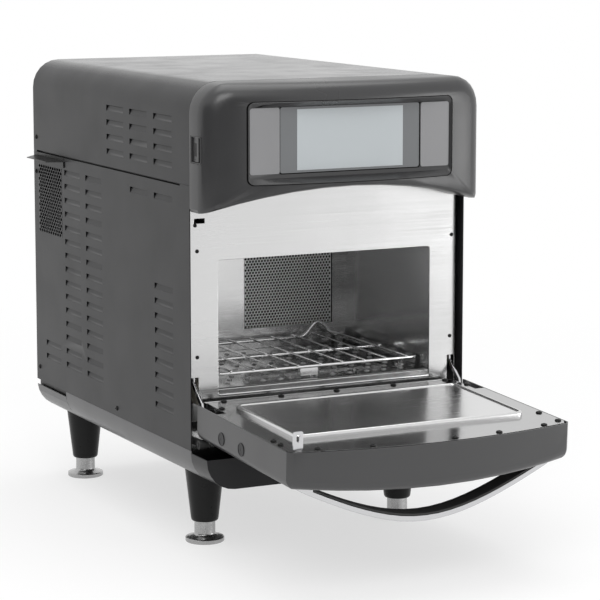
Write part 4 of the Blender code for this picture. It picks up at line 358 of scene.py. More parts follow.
def stacked_piece(name: str, grids: list[np.ndarray]) -> Piece:
    """One closed piece from several grids of points, each of which closes on itself.

    Args:
        name: the piece's name.
        grids: arrays of rows x columns x 3.

    Returns:
        The welded piece.
    """
    firsts = np.cumsum([0] + [grid.shape[0] * grid.shape[1] for grid in grids])
    faces = [grid_quads(*grid.shape[:2]) + first for grid, first in zip(grids, firsts)]
    points = np.concatenate([grid.reshape(-1, 3) for grid in grids])
    piece = mesh_piece(name, points, np.concatenate(faces).tolist())
    weld(piece)
    return piece


# Finishes


def shaded(colour: Triple, share: float) -> Triple:
    """A colour made lighter or darker by a share."""
    return tuple(min(1.0, part * share) for part in colour)


def grey(level: float) -> Triple:
    """A neutral colour."""
    return (level, level, level)


class ShaderBench:
    """Makes and links the nodes of one material, so that a finish reads as a short recipe."""

    def __init__(self, name: str) -> None:
        """Starts a material with its principled shader.

        Args:
            name: the material's name.
        """
        self.material = bpy.data.materials.new(name)
        self.material.use_nodes = True
        self.tree = self.material.node_tree
        self.shader = self.tree.nodes["Principled BSDF"]
        self.place = self.tree.nodes.new("ShaderNodeTexCoord").outputs["Object"]

    def node(self, kind: str, **values: float) -> bpy.types.Node:
        """Adds a node and sets its sockets by name.

        Args:
            kind: the node's Blender type.
            values: socket names, with underscores for spaces, and their values.

        Returns:
            The new node.
        """
        made = self.tree.nodes.new(kind)
        for name, value in values.items():
            made.inputs[name.replace("_", " ")].default_value = value
        return made

    def link(self, start: Socket, end: Socket) -> None:
        """Links two sockets."""
        self.tree.links.new(start, end)

    def pattern(self, kind: str, output: str, place: Socket | None = None, **values: float) -> Socket:
        """A texture's output.

        Args:
            kind: the texture's Blender type.
            output: the output's name.
            place: coordinates other than the object's own.
            values: socket names and their values.

        Returns:
            The output.
        """
        made = self.node(kind, **values)
        self.link(place or self.place, made.inputs["Vector"])
        return made.outputs[output]

    def coordinate(self, axis: int) -> Socket:
        """One of the object's coordinates, 0 for X to 2 for Z."""
        return self.pattern("ShaderNodeSeparateXYZ", "XYZ"[axis])

    def noise(self, scale: float, detail: float = 2.0, place: Socket | None = None) -> Socket:
        """Noise between 0 and 1.

        Args:
            scale: how many waves it has in a metre.
            detail: how many finer layers lie on it.
            place: coordinates other than the object's own.

        Returns:
            The noise.
        """
        return self.pattern("ShaderNodeTexNoise", "Fac", place, Scale=scale, Detail=detail)

    def streaks(self, stretch: Triple, detail: float = 2.0) -> Socket:
        """Noise in object coordinates that are scaled along each axis, so that it draws out into lines."""
        return self.noise(1.0, detail, self.pattern("ShaderNodeMapping", "Vector", Scale=stretch))

    def remap(self, value: Socket, low: float, high: float, start: float, end: float) -> Socket:
        """Turns one span of a value into another.

        Args:
            value: the value.
            low: where its span starts.
            high: where its span ends.
            start: the result for low.
            end: the result for high.

        Returns:
            The result.
        """
        made = self.node("ShaderNodeMapRange", From_Min=low, From_Max=high, To_Min=start, To_Max=end)
        self.link(value, made.inputs["Value"])
        return made.outputs["Result"]

    def maths(self, operation: str, first: Socket, second: Socket | float) -> Socket:
        """One step of arithmetic.

        Args:
            operation: Blender's name for it.
            first: the first value.
            second: the second value, or a number.

        Returns:
            The result.
        """
        made = self.tree.nodes.new("ShaderNodeMath")
        made.operation = operation
        self.link(first, made.inputs[0])
        if isinstance(second, (int, float)):
            made.inputs[1].default_value = second
        else:
            self.link(second, made.inputs[1])
        return made.outputs[0]

    def tones(self, factor: Socket, first: Triple, second: Triple) -> None:
        """Colours the surface with a blend of two colours.

        Args:
            factor: how much of the second colour shows, from 0 to 1.
            first: the colour at 0.
            second: the colour at 1.
        """
        made = self.tree.nodes.new("ShaderNodeMix")
        made.data_type = "RGBA"
        made.inputs["A"].default_value = (*first, 1.0)
        made.inputs["B"].default_value = (*second, 1.0)
        self.link(factor, made.inputs["Factor"])
        self.feed("Base Color", next(socket for socket in made.outputs if socket.type == "RGBA"))

    def tint(self, factor: Socket, colour: Triple, low: float, high: float) -> None:
        """Colours the surface from one share of a colour to another, by a factor."""
        self.tones(factor, shaded(colour, low), shaded(colour, high))

    def gloss(self, value: Socket, start: float, end: float, low: float = 0.3, high: float = 0.7) -> None:
        """Turns the span low to high of a value into a roughness from start to end."""
        self.feed("Roughness", self.remap(value, low, high, start, end))

    def set(self, socket: str, value: float | Triple) -> None:
        """Sets one of the shader's own sockets."""
        self.shader.inputs[socket].default_value = value

    def feed(self, socket: str, value: Socket) -> None:
        """Links a value into one of the shader's sockets."""
        self.link(value, self.shader.inputs[socket])

    def bump(self, height: Socket, strength: float, distance: float) -> None:
        """Raises the surface by a height, on top of any bump it has already.

        Args:
            height: the height, from 0 to 1.
            strength: how strongly it shows.
            distance: how far 1 stands out.
        """
        made = self.node("ShaderNodeBump", Strength=strength, Distance=distance)
        self.link(height, made.inputs["Height"])
        normal = self.shader.inputs["Normal"]
        if normal.is_linked:
            self.link(normal.links[0].from_socket, made.inputs["Normal"])
        self.link(made.outputs["Normal"], normal)


@dataclass(frozen=True)
class Finish:
    """What every finish has: its name, its colour and the building of its material."""

    name: str
    colour: Triple

    def recipe(self, bench: ShaderBench) -> None:
        """Sets up the shader. Each finish has its own way.

        Args:
            bench: the material's bench.
        """
        raise NotImplementedError

    def material(self) -> Material:
        """Builds the finish's material."""
        bench = ShaderBench(self.name)
        self.recipe(bench)
        return bench.material


@dataclass(frozen=True)
class PowderCoat(Finish):
    """Sprayed and baked powder on sheet steel: fine orange peel, soft gloss and faint hand marks.

    What lies over top_height is wiped smoother by top_gloss, as the top of an oven is.
    """

    gloss_low: float = 0.29
    gloss_high: float = 0.35
    top_height: float = 0.620
    top_gloss: float = 0.13
    top_blend: float = 0.008
    peel_size: float = 0.0012
    peel_depth: float = 0.00003
    drift: float = 0.03
    ior: float = 1.31

    def recipe(self, bench: ShaderBench) -> None:
        """Clouded colour, marked gloss and orange peel.

        Args:
            bench: the material's bench.
        """
        bench.tint(bench.noise(scale=7.0, detail=4.0), self.colour, 1 - self.drift, 1 + self.drift)
        marks = bench.noise(scale=16.0, detail=5.0)
        start = self.top_height - self.top_blend
        wiped = bench.remap(bench.coordinate(2), start, self.top_height, 0.0, self.top_gloss)
        gloss = bench.remap(marks, 0.35, 0.7, self.gloss_low, self.gloss_high)
        bench.feed("Roughness", bench.maths("SUBTRACT", gloss, wiped))
        bench.bump(bench.noise(scale=1 / self.peel_size), 0.35, self.peel_depth)
        bench.set("IOR", self.ior)


@dataclass(frozen=True)
class MouldedPlastic(Finish):
    """Moulded plastic with a fine spark-eroded grain that scatters its highlights."""

    roughness: float = 0.42
    grain_size: float = 0.0011
    grain_depth: float = 0.00008

    def recipe(self, bench: ShaderBench) -> None:
        """Clouded colour and gloss, with grain in two sizes.

        Args:
            bench: the material's bench.
        """
        cloud = bench.noise(scale=11.0, detail=3.0)
        bench.tint(cloud, self.colour, 0.93, 1.08)
        bench.gloss(cloud, self.roughness - 0.04, self.roughness + 0.05)
        cells = bench.pattern("ShaderNodeTexVoronoi", "Distance", Scale=1 / self.grain_size, Randomness=1.0)
        bench.bump(cells, 0.30, self.grain_depth)
        bench.bump(bench.noise(scale=0.6 / self.grain_size, detail=3.0), 0.25, self.grain_depth)


@dataclass(frozen=True)
class BrushedSteel(Finish):
    """Stainless sheet with brushed lines along one way, and faint smears from wiping."""

    brushing: Brushing
    roughness: float = 0.24
    line_depth: float = 0.00002
    stain: float = 0.04

    def recipe(self, bench: ShaderBench) -> None:
        """Lines and smears mix in colour and gloss, and the lines stand out.

        Args:
            bench: the material's bench.
        """
        bench.set("Metallic", 1.0)
        lines = bench.streaks(self.brushing.value, detail=3.0)
        both = bench.maths("MULTIPLY", bench.maths("ADD", lines, bench.noise(scale=9.0, detail=4.0)), 0.5)
        bench.tint(both, self.colour, 1 - self.stain, 1 + self.stain)
        bench.gloss(both, self.roughness - 0.06, self.roughness + 0.08, low=0.35, high=0.65)
        bench.bump(lines, 0.5, self.line_depth)


@dataclass(frozen=True)
class BakedSteel(Finish):
    """Chamber steel that heat and splashes have dulled, darker in patches."""

    scorched: Triple
    roughness: float = 0.30

    def recipe(self, bench: ShaderBench) -> None:
        """Scorched patches over faint brushed lines.

        Args:
            bench: the material's bench.
        """
        bench.set("Metallic", 1.0)
        patches = bench.remap(bench.noise(scale=13.0, detail=5.0), 0.50, 0.72, 0.0, 1.0)
        bench.tones(patches, self.colour, self.scorched)
        bench.gloss(patches, self.roughness, self.roughness + 0.10, low=0.0, high=1.0)
        bench.bump(bench.streaks(Brushing.ALONG_X.value), 0.15, 0.00001)
        bench.bump(bench.noise(scale=90.0), 0.03, 0.00003)


@dataclass(frozen=True)
class PolishedSteel(Finish):
    """Polished bright metal with hair scratches that only show in its highlights."""

    roughness: float = 0.10
    scratching: Triple = (30.0, 700.0, 700.0)

    def recipe(self, bench: ShaderBench) -> None:
        """Fine scratches in colour, gloss and height.

        Args:
            bench: the material's bench.
        """
        bench.set("Metallic", 1.0)
        scratch = bench.streaks(self.scratching)
        bench.tint(scratch, self.colour, 0.96, 1.0)
        bench.gloss(scratch, self.roughness * 0.7, self.roughness * 1.4)
        bench.bump(scratch, 0.2, 0.00001)


@dataclass(frozen=True)
class PanelGlass(Finish):
    """The touch panel: a pale blank picture area inside a darker printed border, under one glass."""

    border: Triple
    middle: Triple
    half: Triple

    def recipe(self, bench: ShaderBench) -> None:
        """The picture is where |x - x0| and |z - z0| are under its half sizes.

        Args:
            bench: the material's bench.
        """
        inside = []
        for axis in (0, 2):
            offset = bench.maths("SUBTRACT", bench.coordinate(axis), self.middle[axis])
            inside.append(bench.maths("LESS_THAN", bench.maths("ABSOLUTE", offset, 0.0), self.half[axis]))
        cloud = bench.noise(scale=9.0)
        level = bench.remap(cloud, 0.2, 0.8, 0.92, 1.0)
        glow = bench.maths("MULTIPLY", bench.maths("MULTIPLY", *inside), level)
        bench.tones(glow, self.border, self.colour)
        bench.gloss(cloud, 0.16, 0.22)
        bench.set("Coat Weight", 0.5)
        bench.set("Coat Roughness", 0.05)


@dataclass(frozen=True)
class Rubber(Finish):
    """Dull black rubber with a fine grain."""

    roughness: float = 0.72

    def recipe(self, bench: ShaderBench) -> None:
        """Dust in colour and gloss, over the grain.

        Args:
            bench: the material's bench.
        """
        dust = bench.noise(scale=40.0, detail=4.0)
        bench.tint(dust, self.colour, 1.0, 1.5)
        bench.gloss(dust, self.roughness - 0.08, self.roughness + 0.08)
        bench.bump(bench.noise(scale=1500.0), 0.3, 0.00006)


@dataclass(frozen=True)
class EnamelledCasting(Finish):
    """Gloss black enamel over a casting, with the casting's slow waves under it."""

    roughness: float = 0.26
    ior: float = 1.28

    def recipe(self, bench: ShaderBench) -> None:
        """Slow waves and a fine skin.

        Args:
            bench: the material's bench.
        """
        bench.set("IOR", self.ior)
        waves = bench.noise(scale=70.0, detail=3.0)
        bench.tint(waves, self.colour, 0.9, 1.15)
        bench.gloss(waves, self.roughness - 0.05, self.roughness + 0.08)
        bench.bump(waves, 0.08, 0.00015)
        bench.bump(bench.noise(scale=900.0), 0.10, 0.00003)


@dataclass(frozen=True)
class BoardLacquer(Finish):
    """Green lacquer over copper tracks, seen as slightly raised lines."""

    def recipe(self, bench: ShaderBench) -> None:
        """Tracks in colour and height.

        Args:
            bench: the material's bench.
        """
        tracks = bench.pattern("ShaderNodeTexBrick", "Fac", Scale=160.0, Mortar_Size=0.06)
        bench.tint(tracks, self.colour, 1.0, 1.9)
        bench.gloss(bench.noise(scale=60.0), 0.35, 0.55)
        bench.bump(tracks, 0.4, 0.00005)


@dataclass(frozen=True)
class MineralWool(Finish):
    """Loose mineral wool: tangled pale fibres."""

    tangle: Triple = (260.0, 900.0, 500.0)

    def recipe(self, bench: ShaderBench) -> None:
        """Fibres in colour, gloss and height.

        Args:
            bench: the material's bench.
        """
        fibres = bench.streaks(self.tangle, detail=6.0)
        bench.tint(fibres, self.colour, 0.7, 1.15)
        bench.gloss(fibres, 0.86, 0.98, low=0.2, high=0.8)
        bench.bump(fibres, 0.8, 0.0008)


@dataclass(frozen=True)
class FiredCeramic(Finish):
    """Coated ceramic with the small square cells of a catalyst block."""

    def recipe(self, bench: ShaderBench) -> None:
        """Cells in colour and height.

        Args:
            bench: the material's bench.
        """
        cells = bench.pattern("ShaderNodeTexVoronoi", "Distance", Scale=420.0, Randomness=0.0)
        bench.tint(cells, self.colour, 1.0, 0.4)
        bench.gloss(bench.noise(scale=90.0), 0.72, 0.88)
        bench.bump(cells, 0.7, 0.0004)


class FinishShelf:
    """Builds every finish of the oven once and hands it out by its slot."""

    def __init__(self, sites: "Sites") -> None:
        """Builds the finishes.

        Args:
            sites: places read from the CAD, for the finish of the touch panel.
        """
        screen = (sites.display_middle, sites.display_half)
        recipes = {
            Slot.BLACK_PAINT: PowderCoat("black_powder_coat", (0.010, 0.010, 0.011)),
            Slot.BASE_PAINT: PowderCoat("grey_powder_coat", (0.110, 0.110, 0.112)),
            Slot.HOUSING: MouldedPlastic("moulded_housing", (0.032, 0.032, 0.033), 0.30),
            Slot.STAINLESS: BrushedSteel("brushed_stainless", grey(0.66), Brushing.ALONG_X, 0.20),
            Slot.DARK_STAINLESS: BakedSteel("baked_stainless", grey(0.46), grey(0.34), 0.17),
            Slot.CHROME: PolishedSteel("polished_chrome", (0.60, 0.60, 0.61), 0.16),
            Slot.GLASS: PanelGlass("touch_panel_glass", (0.40, 0.43, 0.445), (0.115, 0.12, 0.125), *screen),
            Slot.DISPLAY: PowderCoat("display_module", (0.55, 0.58, 0.60)),
            Slot.BOARD: BoardLacquer("board_lacquer", (0.03, 0.16, 0.08)),
            Slot.RUBBER: Rubber("black_rubber", grey(0.02)),
            Slot.CAST: EnamelledCasting("black_enamel", grey(0.008), 0.30),
            Slot.WOOL: MineralWool("mineral_wool", (0.72, 0.68, 0.58)),
            Slot.MOTOR: BrushedSteel("plain_motor_steel", (0.32, 0.33, 0.35), Brushing.ALONG_Y, 0.36),
            Slot.CERAMIC: FiredCeramic("catalyst_ceramic", (0.70, 0.66, 0.58)),
        }
        self.materials = {slot: recipe.material() for slot, recipe in recipes.items()}

    def __getitem__(self, slot: Slot) -> Material:
        """The material of a slot."""
        return self.materials[slot]


# Places read from the CAD


@dataclass(frozen=True)
class Sites:
    """Places and sizes of the CAD model that the fine pieces are set out from."""

    front: float
    rear: float
    half_width: float
    top: float
    display_middle: Triple
    display_half: Triple

    @classmethod
    def from_frame(cls) -> "Sites":
        """Reads the sites from the boxes of the CAD nodes."""
        low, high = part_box("side_panel_left")
        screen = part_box("display_panel")
        middle = tuple((a + b) / 2 for a, b in zip(*screen))
        half = tuple((b - a) / 2 for a, b in zip(*screen))
        return cls(low[1], high[1], -low[0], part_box("top_shell")[1][2], middle, half)

    def station(self, setback: float) -> float:
        """The Y of a place behind the cabinet's front edge."""
        return self.front + setback


@dataclass(frozen=True)
class DoorPlane:
    """The open door's own axes: out along its face from the hinge, and up from its inner face."""

    hinge_y: float
    hinge_z: float = 0.187
    angle: float = math.radians(92.4)
    face: float = 0.0196

    def point(self, x: float, along: float, lift: float) -> np.ndarray:
        """A point on the door.

        Args:
            x: across the door.
            along: distance from the hinge line towards the door's top edge.
            lift: height over its inner face.

        Returns:
            The point in the frame.
        """
        depth = self.face + lift
        y = self.hinge_y + depth * math.cos(self.angle) - along * math.sin(self.angle)
        z = self.hinge_z + depth * math.sin(self.angle) + along * math.cos(self.angle)
        return np.array([x, y, z])

    @property
    def normal(self) -> Triple:
        """The direction out of the door's inner face."""
        return (0.0, math.cos(self.angle), math.sin(self.angle))

    @property
    def outwards(self) -> Triple:
        """The direction from the hinge to the door's top edge."""
        return (0.0, -math.sin(self.angle), math.cos(self.angle))


# Dressing of CAD nodes


@dataclass
class Dresser:
    """Gives CAD nodes their finish, either as they are or as a smoothed copy with softened edges."""

    frame: dict
    shelf: FinishShelf
    slots: dict[str, Slot]

    def body(self, node: str) -> str:
        """The name of the body that a node rides on."""
        return body_of(self.frame["nodes"][node])[0]

    def paint(self, node: str, look: Material | None = None) -> None:
        """Gives a node that stays as it is its procedural finish.

        Args:
            node: the CAD node.
            look: another material than the node's own.
        """
        target = self.frame["nodes"][node]
        target.data.materials.clear()
        target.data.materials.append(look or self.shelf[self.slots[node]])

    def finish(self, piece: Piece, slot: Slot, body: str, look: Material | None = None) -> Piece:
        """Gives a new piece its material and body, and logs its slot.

        Args:
            piece: the piece.
            slot: its finish.
            body: the CAD body that it rides on.
            look: another material than the slot's own.

        Returns:
            The piece.
        """
        piece.data.materials.clear()
        piece.data.materials.append(look or self.shelf[slot])
        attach(piece, body)
        LOG.info("%s rides on %s in %s", piece.name, body, slot.value)
        return piece

    def add(
        self, name: str, grids: list[np.ndarray], slot: Slot, body: str = "cabinet",
        look: Material | None = None,
    ) -> Piece:
        """Builds a closed piece from grids of points and finishes it.

        Args:
            name: the piece's name.
            grids: grids of points, each of which closes on itself.
            slot: its finish.
            body: the CAD body that it rides on.
            look: another material than the slot's own.

        Returns:
            The piece.
        """
        return self.finish(stacked_piece(name, grids), slot, body, look)

    def skin(
        self, node: str, edge: float, cuts: tuple[tuple[Triple, Triple], ...] = (),
        look: Material | None = None,
    ) -> Piece:
        """Replaces a node with a welded, smooth copy whose edges are rounded.

        Args:
            node: the CAD node.
            edge: how far its edges are rounded.
            cuts: boxes, as low and high corners, that are cut away from the copy.
            look: another material than the node's own.

        Returns:
            The copy.
        """
        mesh = self.frame["nodes"][node].data.copy()
        work = bmesh.new()
        work.from_mesh(mesh)
        bmesh.ops.remove_doubles(work, verts=work.verts, dist=MERGE_DISTANCE)
        bmesh.ops.dissolve_limit(work, angle_limit=FLATNESS, verts=work.verts, edges=work.edges)
        work.to_mesh(mesh)
        work.free()
        piece = placed(node + "_skin", mesh)
        for low, high in cuts:
            self.cut_box(piece, low, high)
        shade(piece)
        rounding = piece.modifiers.new("rounded_edges", "BEVEL")
        rounding.width = edge
        rounding.segments = 2
        rounding.limit_method = "ANGLE"
        rounding.angle_limit = CREASE
        rounding.harden_normals = True
        self.finish(piece, self.slots[node], self.body(node), look)
        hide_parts(node)
        return piece

    def skins(self, edge: float, *nodes: str) -> None:
        """Replaces several nodes with copies whose edges are rounded alike."""
        for node in nodes:
            self.skin(node, edge)

    def cut_box(self, piece: Piece, low: Triple, high: Triple) -> None:
        """Cuts a box away from a piece and keeps the result in its mesh.

        Args:
            piece: the piece to cut.
            low: the box's lowest corner.
            high: its highest corner.
        """
        work = bmesh.new()
        bmesh.ops.create_cube(work, size=1.0)
        bmesh.ops.scale(work, vec=Vector(high) - Vector(low), verts=work.verts)
        bmesh.ops.translate(work, vec=(Vector(high) + Vector(low)) / 2, verts=work.verts)
        mesh = bpy.data.meshes.new("cutter")
        work.to_mesh(mesh)
        work.free()
        cutter = placed("cutter", mesh)
        boolean = piece.modifiers.new("cut", "BOOLEAN")
        boolean.operation = "DIFFERENCE"
        boolean.solver = "EXACT"
        boolean.object = cutter
        depsgraph = bpy.context.evaluated_depsgraph_get()
        result = bpy.data.meshes.new_from_object(piece.evaluated_get(depsgraph))
        piece.modifiers.clear()
        piece.data = result
        bpy.data.objects.remove(cutter, do_unlink=True)


# Fine pieces that several sub-assemblies share


@dataclass(frozen=True)
class ButtonScrew:
    """A button-head screw with a hexagon socket, as a grid of rings from its rim to the socket's floor."""

    radius: float = 0.0034
    height: float = 0.0018
    socket: float = 0.0013
    socket_depth: float = 0.0010
    socket_lip: float = 1.12
    steps: int = 24
    reach: tuple[float, ...] = (0.0, 1.0, 1.0, 0.94, 0.78, 0.52)
    rise: tuple[float, ...] = (0.0, 0.0, 0.25, 0.60, 0.86, 1.0, 1.0, 0.96)

    def ring_radius(self) -> np.ndarray:
        """Radii of the rings. In the socket r(a) = s cos 30 / cos((a mod 60) - 30), a hexagon."""
        angle = np.linspace(0, TURN, self.steps, endpoint=False)
        sixth = TURN / 6
        hexagon = self.socket * math.cos(sixth / 2) / np.cos(np.mod(angle, sixth) - sixth / 2)
        rounds = [np.full(self.steps, self.radius * share) for share in self.reach]
        return np.array([*rounds, hexagon * self.socket_lip, hexagon, hexagon, hexagon * 0.0])

    def ring_height(self) -> np.ndarray:
        """Heights of the rings over the sheet that the head sits on."""
        return np.concatenate([np.array(self.rise) * self.height, [self.height - self.socket_depth] * 2])

    def grids(self, spots: list[tuple[Triple, Triple]]) -> list[np.ndarray]:
        """The screw's rings at each pair of a point on the sheet and the sheet's outward direction."""
        radius, height = self.ring_radius(), self.ring_height()
        return [ring_points(radius, height, spot, normal) for spot, normal in spots]


@dataclass(frozen=True)
class Perforation:
    """A flat sheet with rows of round holes, every second row moved by half a step."""

    columns: int
    rows: int
    step: float
    row_step: float
    hole: float
    sheet: float
    squash: float = 1.0

    @property
    def width(self) -> float:
        """The sheet's width, half a step more than its columns."""
        return (self.columns + 0.5) * self.step

    @property
    def height(self) -> float:
        """The sheet's height."""
        return self.rows * self.row_step

    def cell(self) -> tuple[np.ndarray, np.ndarray]:
        """One cell's square outline and its hole: sixteen points on each, at the same angles."""
        quarter = np.array([-0.5, -0.25, 0.0, 0.25])
        right = np.stack([np.full(4, 0.5), quarter], axis=-1)
        turn = np.array([[0.0, 1.0], [-1.0, 0.0]])
        square = np.concatenate([right, right @ turn, right @ turn @ turn, right @ turn @ turn @ turn])
        outline = square * np.array([self.step, self.row_step])
        circle = square / np.linalg.norm(square, axis=1)[:, None] * self.hole / 2
        return outline, circle * np.array([1.0, self.squash])

    def centres(self) -> np.ndarray:
        """Middles of the cells, from the sheet's lower left corner."""
        row = np.arange(self.rows)[:, None]
        column = np.arange(self.columns)[None, :]
        x = (column + 0.5 + 0.5 * (row % 2)) * self.step
        y = np.broadcast_to((row + 0.5) * self.row_step, x.shape)
        return np.stack([x, y], axis=-1).reshape(-1, 2)

    def end_fills(self) -> np.ndarray:
        """Half cells without a hole that square off the moved rows: twelve points each."""
        quarter = np.array([0.0, 0.25, 0.5, 0.75])
        side = np.array([0.0, 0.5])
        bottom = np.stack([side / 2, np.zeros(2)], axis=-1)
        right = np.stack([np.full(4, 0.5), quarter], axis=-1)
        top = np.array([[0.5, 1.0], [0.25, 1.0]])
        left = np.stack([np.zeros(4), 1.0 - quarter], axis=-1)
        loop = np.concatenate([bottom, right, top, left]) * np.array([self.step, self.row_step])
        rows = np.arange(self.rows)
        x = np.where(rows % 2 == 1, 0.0, self.columns * self.step)
        corner = np.stack([x, rows * self.row_step], axis=-1)
        return corner[:, None] + loop[None]

    def build(self, name: str, corner: Triple, across: Triple, up: Triple = ALONG_Z) -> Piece:
        """Makes the sheet. A point (s, t) of it is corner + s across + t up.

        Args:
            name: the piece's name.
            corner: the sheet's lower corner where across starts, on its outer face.
            across: direction of its rows.
            up: direction of its columns.

        Returns:
            The sheet, with its thickness behind its outer face.
        """
        outline, circle = self.cell()
        middles = self.centres()[:, None]
        cells = np.concatenate([middles + outline, middles + circle], axis=1)
        k = np.arange(16)
        ring = np.stack([k + 16, k, (k + 1) % 16, (k + 1) % 16 + 16], axis=-1)
        quads = (ring[None] + (np.arange(len(cells)) * 32)[:, None, None]).reshape(-1, 4)
        fills = self.end_fills()
        ends = np.arange(len(fills) * 12).reshape(-1, 12) + len(cells) * 32
        flat = np.concatenate([cells.reshape(-1, 2), fills.reshape(-1, 2)])
        points = np.asarray(corner) + flat[:, :1] * np.asarray(across) + flat[:, 1:] * np.asarray(up)
        piece = mesh_piece(name, points, [*quads.tolist(), *ends.tolist()])
        weld(piece, closed=False)
        wall = piece.modifiers.new("sheet", "SOLIDIFY")
        wall.thickness = self.sheet
        wall.offset = -1.0
        return piece


# Sub-assemblies


@dataclass
class Casework:
    """The sheet-metal cabinet: side sheets, top shell, base, back, vents and their screws."""

    dresser: Dresser
    sites: Sites
    edge: float = 0.0005
    vent_start: float = 0.4515
    vent_bottom: float = 0.370
    vent: Perforation = Perforation(
        columns=10, rows=21, step=0.00905, row_step=0.00476, hole=0.0071, sheet=0.0010, squash=0.63
    )
    side_screws: Pairs = ((0.554, 0.509), (0.556, 0.458), (0.553, 0.164), (0.251, 0.155))
    back_screw_inset: float = 0.012
    cut_margin: float = 0.004
    hood_tab: Plate = Plate(half_width=0.00084, half_height=0.0044, corner=0.0005, thickness=0.0012)
    tab_setback: float = 0.0008
    tab_drop: float = 0.0036
    hood_slot_inset: float = 0.003
    hood_slot_rise: float = 0.0029
    seam: float = 0.4885
    seam_end: Plate = Plate(half_width=0.006, half_height=0.0028, corner=0.0004, thickness=0.0024)
    seam_end_depth: float = 0.0013
    seam_end_inset: float = 0.0062
    strip_depth: float = 0.0050
    strip_inset_front: float = 0.0145
    strip_inset_rear: float = 0.013
    skirt_middle: float = 0.1405
    skirt_half: float = 0.0095
    skirt_start: float = 0.4475
    skirt_end_inset: float = 0.0008
    skirt_depth: float = 0.0052
    skirt_back_inset: float = 0.0070
    skirt_back_margin: float = 0.0007
    skirt_sheet: tuple[float, float] = (0.001, 0.0010)
    joint_low: Triple = (0.022, 0.001, 0.0014)
    joint_width: float = 0.0024

    def vent_box(self, side: Side) -> tuple[Triple, Triple]:
        """The box that is cut out of a side sheet for its perforated patch.

        Args:
            side: the oven's side.

        Returns:
            The box's low and high corners.
        """
        outer = side.value * (self.sites.half_width + self.cut_margin)
        inner = side.value * (self.sites.half_width - self.cut_margin)
        start = self.sites.station(self.vent_start)
        low = (min(outer, inner), start, self.vent_bottom)
        high = (max(outer, inner), start + self.vent.width, self.vent_bottom + self.vent.height)
        return low, high

    def side(self, side: Side) -> None:
        """Dresses one side: its sheet, its perforated patch, its hood and its screws.

        Args:
            side: the oven's side.
        """
        self.dresser.skin(f"side_panel_{side.word}", self.edge, (self.vent_box(side),))
        outer = side.value * self.sites.half_width
        start = self.sites.station(self.vent_start)
        corner = (outer, start + self.vent.width if side is Side.LEFT else start, self.vent_bottom)
        patch = self.vent.build(f"side_vent_{side.word}", corner, (0.0, float(side.value), 0.0))
        self.dresser.finish(patch, Slot.BLACK_PAINT, "cabinet")
        self.dresser.skin(f"vent_hood_{side.word}", self.edge, look=self.dresser.shelf[Slot.CAST])
        self.trim(side)
        spots = [((outer, self.sites.station(y), z), side.outwards) for y, z in self.side_screws]
        self.dresser.add(f"side_screws_{side.word}", ButtonScrew().grids(spots), Slot.CAST)

    def trim(self, side: Side) -> None:
        """The dark sheets of one side: the hood's tab; a thin black plate over the hood that paints the
        shade of the slot there; and the seam's end and its backing strip, black sheets behind the seam's gap
        like an inner flange, whose black also stands in for the gap's shade.

        Args:
            side: the oven's side.
        """
        outer = side.value * self.sites.half_width
        low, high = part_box(f"vent_hood_{side.word}")
        x = outer + side.value * self.hood_tab.half_width
        tab = self.hood_tab.points((x, low[1] + self.tab_setback, low[2] - self.tab_drop), side.outwards)
        reach = (high[1] - low[1]) / 2 - self.hood_slot_inset
        # A thin black plate on the sheet over the hood: painted shade of the slot opening there.
        slot = Plate(reach, half_height=0.0022, corner=0.0015, thickness=0.0006)
        over = slot.points((outer, (low[1] + high[1]) / 2, high[2] + self.hood_slot_rise), ALONG_Y)
        self.dresser.add(f"hood_trim_{side.word}", [tab, over], Slot.CAST)
        # Black sheets at the seam's end and behind its gap: partly an inner flange, partly painted shade of
        # the gap.
        place = (outer - side.value * self.seam_end_depth, self.sites.rear - self.seam_end_inset, self.seam)
        closing = self.seam_end.points(place, ALONG_Y)
        panel_low, panel_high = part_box(f"side_panel_{side.word}")
        start = panel_low[1] + self.strip_inset_front
        stop = self.sites.rear - self.strip_inset_rear
        strip = Plate((stop - start) / 2, half_height=0.0050, corner=0.0004, thickness=0.0008)
        place = (outer - side.value * self.strip_depth, (start + stop) / 2, panel_high[2])
        behind = strip.points(place, ALONG_Y)
        self.dresser.add(f"seam_end_{side.word}", [closing, behind], Slot.BLACK_PAINT)

    def skirt(self) -> None:
        """The black inner skirt that closes the slot over the rear base cap, on three sides; its black
        stands in for the shade inside the slot.
        """
        start = self.sites.station(self.skirt_start)
        end = self.sites.rear - self.skirt_end_inset
        inner = self.sites.half_width - self.skirt_depth
        wall = Plate((end - start) / 2, self.skirt_half, *self.skirt_sheet)
        back = Plate(inner - self.skirt_back_margin, self.skirt_half, *self.skirt_sheet)
        places = [(side.value * inner, (start + end) / 2, self.skirt_middle) for side in Side]
        grids = [wall.points(place, ALONG_Y) for place in places]
        grids.append(back.points((0, end - self.skirt_back_inset, self.skirt_middle)))
        self.dresser.add("inner_skirt", grids, Slot.CAST)

    def back(self) -> None:
        """Dresses the back panel and sets screws along its upper and lower edge."""
        self.dresser.skin("rear_panel", self.edge)
        low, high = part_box("rear_panel")
        inset = self.back_screw_inset
        across = np.linspace(low[0] + 2 * inset, high[0] - 2 * inset, 4).tolist()
        spots = [((x, high[1], z), ALONG_Y) for x in across for z in (low[2] + inset, high[2] - inset)]
        self.dresser.add("back_screws", ButtonScrew().grids(spots), Slot.CHROME)

    def build(self) -> None:
        """Builds the whole cabinet."""
        for side in Side:
            self.side(side)
        inset, front, depth = self.joint_low
        x, y, top = self.sites.half_width - inset, self.sites.front, self.sites.top
        joint = ((-x, y - front, top - depth), (x, y + self.joint_width, top + front))
        self.dresser.skin("top_shell", self.edge, (joint,))
        self.dresser.skins(self.edge, "base_pan", "rear_base_cap", "front_cap")
        self.skirt()
        self.back()
        self.dresser.skin("power_gland", self.edge)


